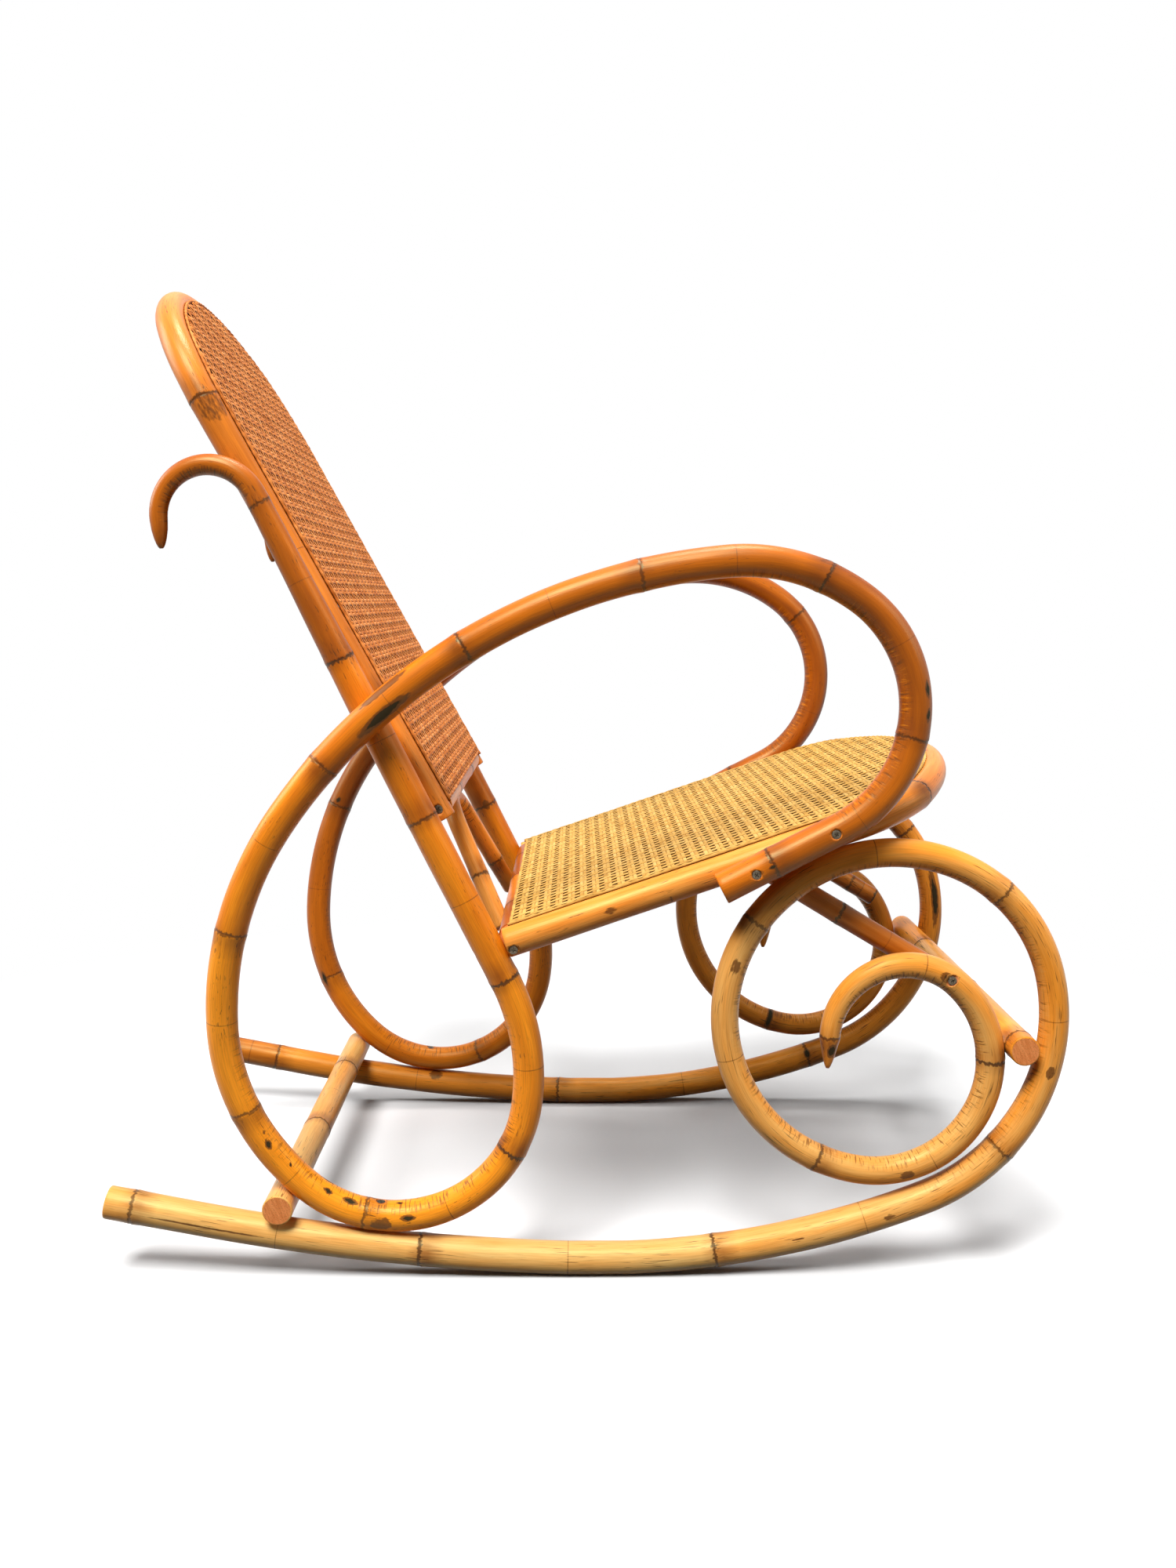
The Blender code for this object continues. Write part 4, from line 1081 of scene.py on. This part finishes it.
# Which piece each family of screws is bored into
HELD_BY = {
    "arm_screw": "arm_{side}", "seat_corner_screw": "seat_frame", "upright_screw": "arm_{side}",
    "ring_screw": "rocker_{side}", "curl_screw": "rocker_{side}", "front_stretcher_screw": "rocker_{side}",
    "rear_stretcher_screw": "rocker_{side}", "loop_screw": "arm_{side}", "back_screw": "back_frame",
    "bottom_rail_screw": "back_frame", "hoop_screw": "back_hoop", "strut_screw": "strut_{side}",
}


def turned_form(profile, head, into, across, stretch=1.0):
    """Vertices and faces of a turned form: (radius, depth) in mm, down from a head point."""
    other = into.cross(across)
    shape = bmesh.new()
    loops = []
    for radius, depth in profile:
        middle = head + into * (depth * MM)
        if radius == 0.0:
            loops.append([shape.verts.new(middle)])
            continue
        loop = []
        for i in range(SCREW_SIDES):
            turn = 2.0 * math.pi * i / SCREW_SIDES
            spoke = across * (math.cos(turn) * stretch) + other * math.sin(turn)
            loop.append(shape.verts.new(middle + spoke * (radius * MM)))
        loops.append(loop)
    for before, after in zip(loops, loops[1:]):
        for i in range(SCREW_SIDES):
            j = (i + 1) % SCREW_SIDES
            around = ((before, i), (before, j), (after, j), (after, i))
            corners = [ring[n % len(ring)] for ring, n in around]
            shape.faces.new(list(dict.fromkeys(corners)))
    bmesh.ops.recalc_face_normals(shape, faces=shape.faces)
    return shape


def loose_object(name, shape):
    mesh = bpy.data.meshes.new(name)
    shape.to_mesh(mesh)
    shape.free()
    made = bpy.data.objects.new(name, mesh)
    bpy.context.scene.collection.objects.link(made)
    return made


def cut_away(piece, cutter):
    """Cut one object out of another for good, and drop the cutter."""
    cut = piece.modifiers.new("cut", "BOOLEAN")
    cut.operation = "DIFFERENCE"
    cut.solver = "EXACT"
    cut.object = cutter
    bpy.context.view_layer.update()
    done = piece.evaluated_get(bpy.context.evaluated_depsgraph_get())
    mesh = bpy.data.meshes.new_from_object(done)
    piece.modifiers.clear()
    old = piece.data
    piece.data = mesh
    bpy.data.meshes.remove(old)
    bpy.data.objects.remove(cutter, do_unlink=True)


def screw_axis(node):
    """Head point and inward direction of a packed screw, from its own solid."""
    points = np.array([v.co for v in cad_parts[node].data.vertices])
    middle = points.mean(0)
    axis = np.linalg.svd(points - middle)[2][0]
    depth = (points - middle) @ axis
    girth = np.linalg.norm(points - middle - np.outer(depth, axis), axis=1)
    if girth[depth > depth.max() - END_SLICE].max() > girth[depth < depth.min() + END_SLICE].max():
        axis, depth = -axis, -depth
    centre = points[depth < depth.min() + END_SLICE].mean(0)
    return Vector(centre), Vector(axis)


def cross_recess(head, into, across, turn):
    """A tapered cross, turned about the screw's axis, to cut out of a screw's head."""
    other = into.cross(across)
    recess = bmesh.new()
    arm, half = CROSS_LONG / 2, CROSS_WIDE / 2
    quarter = ((arm, -half), (arm, half), (half, half))
    loops = []
    for depth, taper in ((-CROSS_ABOVE, 1.0), (CROSS_DEEP, CROSS_TAPER)):
        loop = []
        for step in range(4):
            way = turn + step * math.pi / 2.0
            ahead = across * math.cos(way) + other * math.sin(way)
            beside = into.cross(ahead)
            for u, v in quarter:
                spot = ahead * (u * taper) + beside * (v * taper) + into * depth
                loop.append(recess.verts.new(head + spot * MM))
        loops.append(loop)
    top, bottom = loops
    for i in range(len(top)):
        j = (i + 1) % len(top)
        recess.faces.new((top[i], top[j], bottom[j], bottom[i]))
    recess.faces.new(top[::-1])
    recess.faces.new(bottom)
    bmesh.ops.recalc_face_normals(recess, faces=recess.faces)
    return recess


def drive_screw(node, turn, holes):
    """A cross-slotted screw in place of a packed one, and the hole that it needs in what carries it."""
    head, into = screw_axis(node)
    across = into.orthogonal().normalized()
    made = loose_object(node + "_steel", turned_form(HEAD_PROFILE, head, into, across))
    cut_away(made, loose_object("recess", cross_recess(head, into, across, turn)))
    made.data.materials.clear()
    made.data.materials.append(FINISHES["screw_steel"])
    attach(made, "root")
    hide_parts(node)
    side = "left" if node.endswith("left") else "right"
    family = next(key for key in HELD_BY if node.startswith(key))
    stretch = CURL_SLOT if family == "curl_screw" else 1.0
    holes.setdefault(HELD_BY[family].format(side=side), []).append((head, into, across, stretch))


def bore_holes(piece, holes):
    """Countersunk holes for screws; new points on the rims take their neighbours' values."""
    mesh = piece.data
    layer = mesh.attributes.new("known", "FLOAT", "POINT")
    layer.data.foreach_set("value", np.ones(len(mesh.vertices), np.float32))
    shape = bmesh.new()
    for head, into, across, stretch in holes:
        form = turned_form(HOLE_PROFILE, head, into, across, stretch)
        single = bpy.data.meshes.new("bore")
        form.to_mesh(single)
        form.free()
        shape.from_mesh(single)
        bpy.data.meshes.remove(single)
    cutter = loose_object("bores", shape)
    cutter.data.materials.append(FINISHES["sawn_end"])
    cut_away(piece, cutter)
    mesh = piece.data
    known = np.zeros(len(mesh.vertices), np.float32)
    mesh.attributes["known"].data.foreach_get("value", known)
    old = np.nonzero(known > 0.5)[0]
    tree = KDTree(len(old))
    for i in old:
        tree.insert(mesh.vertices[i].co, int(i))
    tree.balance()
    for i in np.nonzero(known <= 0.5)[0]:
        _, near, _ = tree.find(mesh.vertices[i].co)
        for key in CAP_VALUES:
            values = mesh.attributes[key].data
            values[i].value = values[near].value
        runs = mesh.attributes["cane_run"].data
        runs[i].vector = runs[near].vector
    mesh.attributes.remove(mesh.attributes["known"])


# Joints, burn marks and tones

# Where the joints show, in the photograph's pixels
ARM_JOINTS = (
    (985, 1100), (1170, 942), (1055, 735), (818, 735), (597, 832), (412, 974), (297, 1186),
    (318, 1412), (468, 1540), (652, 1467), (642, 1248), (543, 1042), (443, 838), (336, 640))
ROCKER_JOINTS = (
    (172, 1530), (537, 1590), (910, 1590), (1273, 1462), (1279, 1135), (966, 1178),
    (1040, 1472), (1267, 1350), (1057, 1320))
FAR_ARM_JOINTS = ((1022, 780), (425, 1022), (415, 1247), (608, 1330), (620, 1027))
FAR_ROCKER_JOINTS = ((355, 1350), (712, 1382), (1027, 1340), (980, 1297))
SEAT_JOINT = (1171, 1018)
BACK_JOINT = (268, 508)
STRUT_JOINTS = {"right": (1069, 1162), "left": (1110, 1149)}
# The far canes' hidden joints stand about where the near ones do: the near joint's number
FAR_ARM_HIDDEN = (0, 3, 4, 12, 13)
FAR_ROCKER_HIDDEN = (0, 4, 8)
FAR_JOINT_SHIFT = 0.03
# Other joints, guessed: a run on the seat frame, steps from the back's joint and from its end, runs on the
# hoop, a share of the strut, and shares of a bar's half length from its middle
SEAT_HIDDEN = 0.30
BACK_HIDDEN = (-0.36, 0.42)
BACK_HIDDEN_FROM_END = 0.22
HOOP_JOINTS = (0.07, 0.36)
STRUT_HIDDEN = 0.86
REAR_RAIL_JOINTS = (-0.55, 0.1, 0.7)
CROSS_RAIL_JOINTS = (-0.3, 0.5)
BOTTOM_RAIL_JOINTS = (-0.4, 0.45)
FRONT_STRETCHER_JOINTS = (-0.93, -0.2, 0.5)
REAR_STRETCHER_JOINTS = (-0.2, 0.55)
# Each mark: where it shows in pixels, half its length and width in mm, and how burnt it is at most
ARM_MARKS = (
    ((486, 881), 33, 5.5, 0.2), ((489, 909), 37, 6.5, 1), ((1184, 880), 10, 4, 1), ((1186, 915), 8, 4, 1),
    ((986, 1106), 5, 3, 1), ((344, 1459), 7, 4, 1), ((338, 1443), 4, 3, 0.3), ((368, 1486), 2, 2, 1),
    ((421, 1505), 13, 1.5, 1), ((416, 1519), 7, 3.5, 1), ((445, 1530), 11, 4, 1), ((485, 1526), 14, 1.5, 1),
    ((511, 1534), 5, 1.5, 1), ((518, 1553), 10, 4, 1), ((490, 1556), 4, 3, 0.3), ((575, 1513), 9, 1.5, 0.5),
    ((483, 1562), 12, 8, 0.2))
ROCKER_MARKS = (
    ((262, 1564), 70, 2, 0.4), ((1342, 1370), 8, 5, 0.4), ((1062, 1340), 9, 6, 1), ((1283, 1341), 6, 4, 1),
    ((940, 1232), 9, 6, 0.15), ((1160, 1498), 9, 5, 0.25), ((1135, 1553), 9, 4, 0.15),
    ((1018, 1583), 8, 2, 0.4), ((1214, 1250), 11, 6.5, 0.5))
SEAT_MARKS = (
    ((779, 1163), 9, 4, 0.12), ((856, 1147), 4, 6, 0.14), ((735, 1170), 13, 2, 0.12),
    ((905, 1124), 10, 2, 0.12))
BACK_MARKS = (((273, 521), 15, 16, 0.05),)
FAR_ARM_MARKS = (((430, 1020), 5, 4, 1), ((413, 1248), 12, 4, 1), ((620, 1027), 8, 5, 0.2))
FAR_ROCKER_MARKS = (
    ((557, 1372), 10, 9, 0.25), ((982, 1297), 5, 22, 1), ((1192, 1142), 45, 6, 1), ((1030, 1345), 5, 9, 1))
# How pale each section between joints is, from the arm's end to the hook, from tail to curl and round the
# back, then the tone of each other cane
ARM_TONES = (0.0, -0.5, -0.9, -0.4, -0.3, 0.0, 0.4, 1.2, 1.2, 1.2, 0.8, 0.5, 0.1, -0.7, -0.7)
FAR_ARM_TONES = (-0.8, -1.0, -0.9, -0.8, -0.8, -0.4, 0.2, 0.2, -0.2, -0.4, -0.8)
ROCKER_TONES = (0.6, 0.9, 1.0, 0.6, 0.3, 0.2, 0.5, 0.4, 0.3, -0.3)
FAR_ROCKER_TONES = (-1.0, -1.0, -0.5, 0.0, -0.2, -0.4, -0.4, -0.4)
BACK_TONES = (-0.5, -0.5, -0.3, -0.2, -0.4)
SEAT_TONE = 0.2
REAR_RAIL_TONE = -1.0
FRONT_STRETCHER_TONE = -0.2
# The rear stretcher is paler partly for its straw colour and partly as painted light, making up for the shade
# it sits in under the seat
REAR_STRETCHER_TONE_AND_LIGHT = 1.0
STRUT_TONE = -0.7


# Pieces

# How long the tapered tips are
HOOK_TIP_LONG = 0.018
CURL_TIP_LONG = 0.034
# How finely straight and thin canes are drawn
BAR_POINTS = 60
STRUT_STEPS = 60
HOOP_SIDES = 22
STRUT_SIDES = 24
# How far a screw's cross may be turned, in radians, and the seed of that chance
SCREW_TURN = 1.5
SCREW_SEED = 5
# Pieces that screws are bored into, by the names in HELD_BY
BORED = {}


def runs_at(walk, side, pixels):
    """Runs along one side's cane at which pixels of the photograph show."""
    cane = Cane(walk.line(SIDES[side]), walk.widths, Y_AXIS, [], 0)
    return [cane.run_at(pixel) for pixel in pixels]


def side_cane(kind, walk, side, joints, seed, tip, marks, tones):
    """The arm or rocker cane of one side."""
    cane = Cane(walk.line(SIDES[side]), walk.widths, Y_AXIS, joints, seed)
    nodes = [kind + "_pole_" + side]
    BORED[kind + "_" + side] = grow_cane(
        kind + "_cane_" + side, cane, kind + "_cane", nodes, tip=tip, marks=marks, tones=tones)


def make_arms_and_rockers():
    arm = runs_at(ARM, "right", ARM_JOINTS)
    rocker = runs_at(ROCKER, "right", ROCKER_JOINTS)
    far_arm = runs_at(ARM, "left", FAR_ARM_JOINTS) + [arm[i] + FAR_JOINT_SHIFT for i in FAR_ARM_HIDDEN]
    far_rocker = runs_at(ROCKER, "left", FAR_ROCKER_JOINTS)
    far_rocker += [rocker[i] - FAR_JOINT_SHIFT for i in FAR_ROCKER_HIDDEN]
    side_cane("arm", ARM, "right", arm, 11, HOOK_TIP_LONG, ARM_MARKS, ARM_TONES)
    side_cane("rocker", ROCKER, "right", rocker, 12, CURL_TIP_LONG, ROCKER_MARKS, ROCKER_TONES)
    side_cane("arm", ARM, "left", far_arm, 21, HOOK_TIP_LONG, FAR_ARM_MARKS, FAR_ARM_TONES)
    side_cane("rocker", ROCKER, "left", far_rocker, 22, CURL_TIP_LONG, FAR_ROCKER_MARKS, FAR_ROCKER_TONES)


def bar(name, node, middle, half_length, width, across, slot, joints, seed, tone=0.0):
    """A straight cane from side to side, with joints at shares of its half length from its middle."""
    line = [at_y(middle, y) for y in np.linspace(-half_length, half_length, BAR_POINTS)]
    runs = [half_length * (1.0 + share) for share in joints]
    grow_cane(name, Cane(line, [width] * len(line), across, runs, seed), slot, [node], tone=tone)


def make_seat():
    line = lay(bent_u(SEAT_STRAIGHT, HALF_WIDTH, SEAT_CORNER), SEAT_START, SEAT_WAY, SEAT_UP, 0.0)
    cane = Cane(line, [SEAT_CANE] * len(line), SEAT_NORMAL, [], 31)
    joint = cane.run_at(SEAT_JOINT)
    cane.joints = sorted([cane.length - joint, joint, SEAT_HIDDEN])
    BORED["seat_frame"] = grow_cane(
        "seat_frame_cane", cane, "frame_cane", ["seat_frame"], marks=SEAT_MARKS, tone=SEAT_TONE)
    rail_half = HALF_WIDTH - SEAT_CANE / 2 - CLEARANCE
    bar("seat_rear_cane", "seat_rear_rail", REAR_RAIL_AT, rail_half, REAR_RAIL, at_y(UPRIGHT_AHEAD, 0.0),
        "frame_cane", REAR_RAIL_JOINTS, 32, REAR_RAIL_TONE)
    cross_rail = SEAT_START + SEAT_WAY * CROSS_RAIL_FORWARD + SEAT_UP * (SEAT_CANE / 2 - CROSS_RAIL / 2)
    bar("seat_cross_cane", "seat_cross_rail", cross_rail, rail_half, CROSS_RAIL, SEAT_NORMAL,
        "frame_cane", CROSS_RAIL_JOINTS, 33)
    outline = bent_u(SEAT_STRAIGHT - REAR_RAIL_IN, HALF_WIDTH, SEAT_CORNER)
    panel_start = SEAT_START + SEAT_WAY * REAR_RAIL_IN
    lift = SEAT_CANE / 2 + CLEARANCE
    panel("seat", outline, SEAT_PITCH, panel_start, SEAT_WAY, SEAT_UP, lift, "woven_seat", 41)


def make_back():
    normal = at_y(BACK_AHEAD, 0.0)
    line = lay(bent_u(BACK_STRAIGHT, BACK_HALF, BACK_CORNER), BACK_START, BACK_WAY, BACK_AHEAD, 0.0)
    cane = Cane(line[::-1], [BACK_CANE] * len(line), normal, [], 51)
    joint = cane.run_at(BACK_JOINT)
    others = [joint + step for step in BACK_HIDDEN]
    cane.joints = sorted([joint, cane.length - BACK_HIDDEN_FROM_END] + others)
    BORED["back_frame"] = grow_cane(
        "back_frame_cane", cane, "frame_cane", ["back_frame"], marks=BACK_MARKS, tones=BACK_TONES)
    rail_half = BACK_HALF - BACK_CANE / 2 - CLEARANCE
    bar("back_bottom_cane", "back_bottom_rail", BOTTOM_RAIL_AT, rail_half, BOTTOM_RAIL, normal,
        "frame_cane", BOTTOM_RAIL_JOINTS, 52)
    outline = bent_u(BACK_STRAIGHT - BOTTOM_RAIL_UP, BACK_HALF, BACK_CORNER)
    panel_start = BACK_START + BACK_WAY * BOTTOM_RAIL_UP
    lift = BACK_CANE / 2 + CLEARANCE
    panel("back", outline, BACK_PITCH, panel_start, BACK_WAY, BACK_AHEAD, lift, "woven_back", 61)


def make_hoop():
    """The hoop behind the seat, from under the back's bottom rail down to the seat's rear rail."""
    rail_off = (BOTTOM_RAIL_AT - FOOT).dot(UPRIGHT_AHEAD)
    touch = BOTTOM_RAIL / 2 + HOOP_CANE / 2 + CLEARANCE
    top = (BOTTOM_RAIL_AT - FOOT).dot(UPRIGHT_WAY) - half_chord(touch, rail_off)
    rail_rise = (REAR_RAIL_AT - FOOT).dot(UPRIGHT_WAY)
    splay = math.radians(HOOP_SWEEP)
    leg_drop = top - rail_rise - HOOP_RADIUS * (1.0 - math.cos(splay))
    half = Walk((top, 0.0), 90.0)
    half.arc(HOOP_RADIUS, HOOP_SWEEP)
    half.straight(leg_drop / math.sin(splay) + HOOP_PAST)
    outline = [Vector((p[0], -p[1])) for p in half.points[:0:-1]] + half.points
    line = lay(outline, FOOT, UPRIGHT_WAY, UPRIGHT_AHEAD, 0.0)
    cane = Cane(line, [HOOP_CANE] * len(line), at_y(UPRIGHT_AHEAD, 0.0), HOOP_JOINTS, 63)
    BORED["back_hoop"] = grow_cane("back_hoop_cane", cane, "frame_cane", ["back_hoop"], sides=HOOP_SIDES)


def make_stretchers():
    bar_half = HALF_WIDTH + ROCKER_CANE / 2 + STRETCHER_PAST
    bar("front_stretcher_cane", "front_stretcher", FRONT_BAR, bar_half, FRONT_STRETCHER, SEAT_NORMAL,
        "rocker_cane", FRONT_STRETCHER_JOINTS, 71, FRONT_STRETCHER_TONE)
    from_bend = REAR_LOWER_RADIUS + ARM_CANE / 2 + REAR_STRETCHER / 2 + CLEARANCE
    from_tail = TAIL_RADIUS - ROCKER_CANE / 2 - REAR_STRETCHER / 2 - CLEARANCE
    rear_bar = circle_corner(LOWER_CENTRE, from_bend, TAIL_CENTRE, from_tail)
    # The rear stretcher's tone is partly painted light, making up for the shade under the seat
    bar("rear_stretcher_cane", "rear_stretcher", rear_bar, bar_half, REAR_STRETCHER, SEAT_NORMAL,
        "rocker_cane", REAR_STRETCHER_JOINTS, 72, REAR_STRETCHER_TONE_AND_LIGHT)


def make_struts():
    y = HALF_WIDTH - SEAT_CANE / 2 - STRUT_CANE / 2 - CLEARANCE
    top = ON_RING - SEAT_WAY * STRUT_BEHIND_RING + SEAT_UP * STRUT_ABOVE_AXIS
    slope = (STRUT_LOW - top).normalized()
    end = STRUT_LOW + slope * STRUT_PAST
    for side, seed in (("right", 81), ("left", 91)):
        line = [at_y(top.lerp(end, i / STRUT_STEPS), y * SIDES[side]) for i in range(STRUT_STEPS + 1)]
        cane = Cane(line, [STRUT_CANE] * len(line), Y_AXIS, [], seed)
        cane.joints = [cane.run_at(STRUT_JOINTS[side]), cane.length * STRUT_HIDDEN]
        BORED["strut_" + side] = grow_cane(
            "strut_cane_" + side, cane, "frame_cane", ["strut_" + side], sides=STRUT_SIDES, tone=STRUT_TONE)


def make_screws():
    """Every screw, its cross turned by chance, and then the holes for them all."""
    holes = {}
    draw = random.Random(SCREW_SEED)
    for node in sorted(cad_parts):
        if "_screw" in node:
            drive_screw(node, draw.uniform(0.0, SCREW_TURN), holes)
    for name in sorted(holes):
        bore_holes(BORED[name], holes[name])


# Stage

# The floor's half size, its colours, and the distances between which it fades to plain white
FLOOR_HALF = 30.0
WHITE = (1.0, 1.0, 1.0, 1.0)
FLOOR_SHOWN = (0.72, 0.72, 0.72, 1.0)
FLOOR_BOUNCE = (0.03, 0.03, 0.03, 1.0)
FADE_FROM = 0.8
FADE_TO = 1.5
FILL_LIGHT = 0.025
# Each lamp's place, what it aims at, its size in metres and its watts
LAMPS = {
    "overhead_softbox": ((0.4, 0.8, 6.0), (0.0, 0.0, 0.4), 1.8, 240.0),
    "front_softbox": ((-1.2, -3.1, 5.6), (0.0, 0.0, 0.5), 2.4, 620.0),
    "right_softbox": ((2.4, -0.8, 1.9), (0.0, 0.0, 0.5), 1.4, 20.0),
    "left_softbox": ((-3.0, 0.2, 2.0), (0.0, 0.0, 0.5), 1.6, 55.0),
}


def shown_rays(tree):
    """One for the rays that the camera, reflections and glass show, and nought for the rest."""
    path = add(tree, "LightPath", {}).outputs
    plain = {0: path["Is Camera Ray"], 1: path["Is Glossy Ray"]}
    either = add(tree, "Math", plain, operation="MAXIMUM").outputs[0]
    return add(tree, "Math", {0: either, 1: path["Is Transmission Ray"]}, operation="MAXIMUM").outputs[0]


def lay_floor():
    shape = bmesh.new()
    corners = ((-1, -1), (1, -1), (1, 1), (-1, 1))
    shape.faces.new([shape.verts.new((x * FLOOR_HALF, y * FLOOR_HALF, 0.0)) for x, y in corners])
    floor = loose_object("studio_floor", shape)
    paper = bpy.data.materials.new("white_paper_floor")
    paper.use_nodes = True
    tree = paper.node_tree
    tree.nodes.clear()
    # Pale where it is seen, also in reflections; dark to other rays, so little light bounces up
    pale = add(tree, "BsdfDiffuse", {"Color": FLOOR_SHOWN}).outputs[0]
    dark = add(tree, "BsdfDiffuse", {"Color": FLOOR_BOUNCE}).outputs[0]
    # The sheet turns to plain white away from the chair, so no far edge shows
    place = add(tree, "TexCoord", {}).outputs["Object"]
    far = add(tree, "VectorMath", {0: place}, operation="LENGTH").outputs["Value"]
    span = {0: far, 1: FADE_FROM, 2: FADE_TO, 3: 0.0, 4: 1.0}
    fade = add(tree, "MapRange", span, interpolation_type="SMOOTHSTEP").outputs[0]
    blank = add(tree, "Emission", {"Color": WHITE, "Strength": 1.0}).outputs[0]
    sheet = add(tree, "MixShader", {0: fade, 1: pale, 2: blank}).outputs[0]
    either_way = add(tree, "MixShader", {0: shown_rays(tree), 1: dark, 2: sheet}).outputs[0]
    add(tree, "OutputMaterial", {"Surface": either_way})
    floor.data.materials.append(paper)


def set_world():
    """White where it is seen, and a weak even fill for the rest."""
    world = bpy.data.worlds.new("studio")
    world.use_nodes = True
    bpy.context.scene.world = world
    tree = world.node_tree
    tree.nodes.clear()
    fill = add(tree, "Background", {"Color": WHITE, "Strength": FILL_LIGHT}).outputs[0]
    white = add(tree, "Background", {"Color": WHITE, "Strength": 1.0}).outputs[0]
    sky = add(tree, "MixShader", {0: shown_rays(tree), 1: fill, 2: white}).outputs[0]
    add(tree, "OutputWorld", {"Surface": sky})


def hang_lamps():
    for name, (place, aim, size, watts) in LAMPS.items():
        light = bpy.data.lights.new(name, "AREA")
        light.size = size
        light.energy = watts
        made = bpy.data.objects.new(name, light)
        made.location = place
        made.rotation_euler = (Vector(aim) - Vector(place)).to_track_quat("-Z", "Y").to_euler()
        bpy.context.scene.collection.objects.link(made)


scene = bpy.context.scene
scene.view_settings.view_transform = "Standard"
set_camera()
make_arms_and_rockers()
make_seat()
make_back()
make_hoop()
make_stretchers()
make_struts()
make_screws()
lay_floor()
set_world()
hang_lamps()
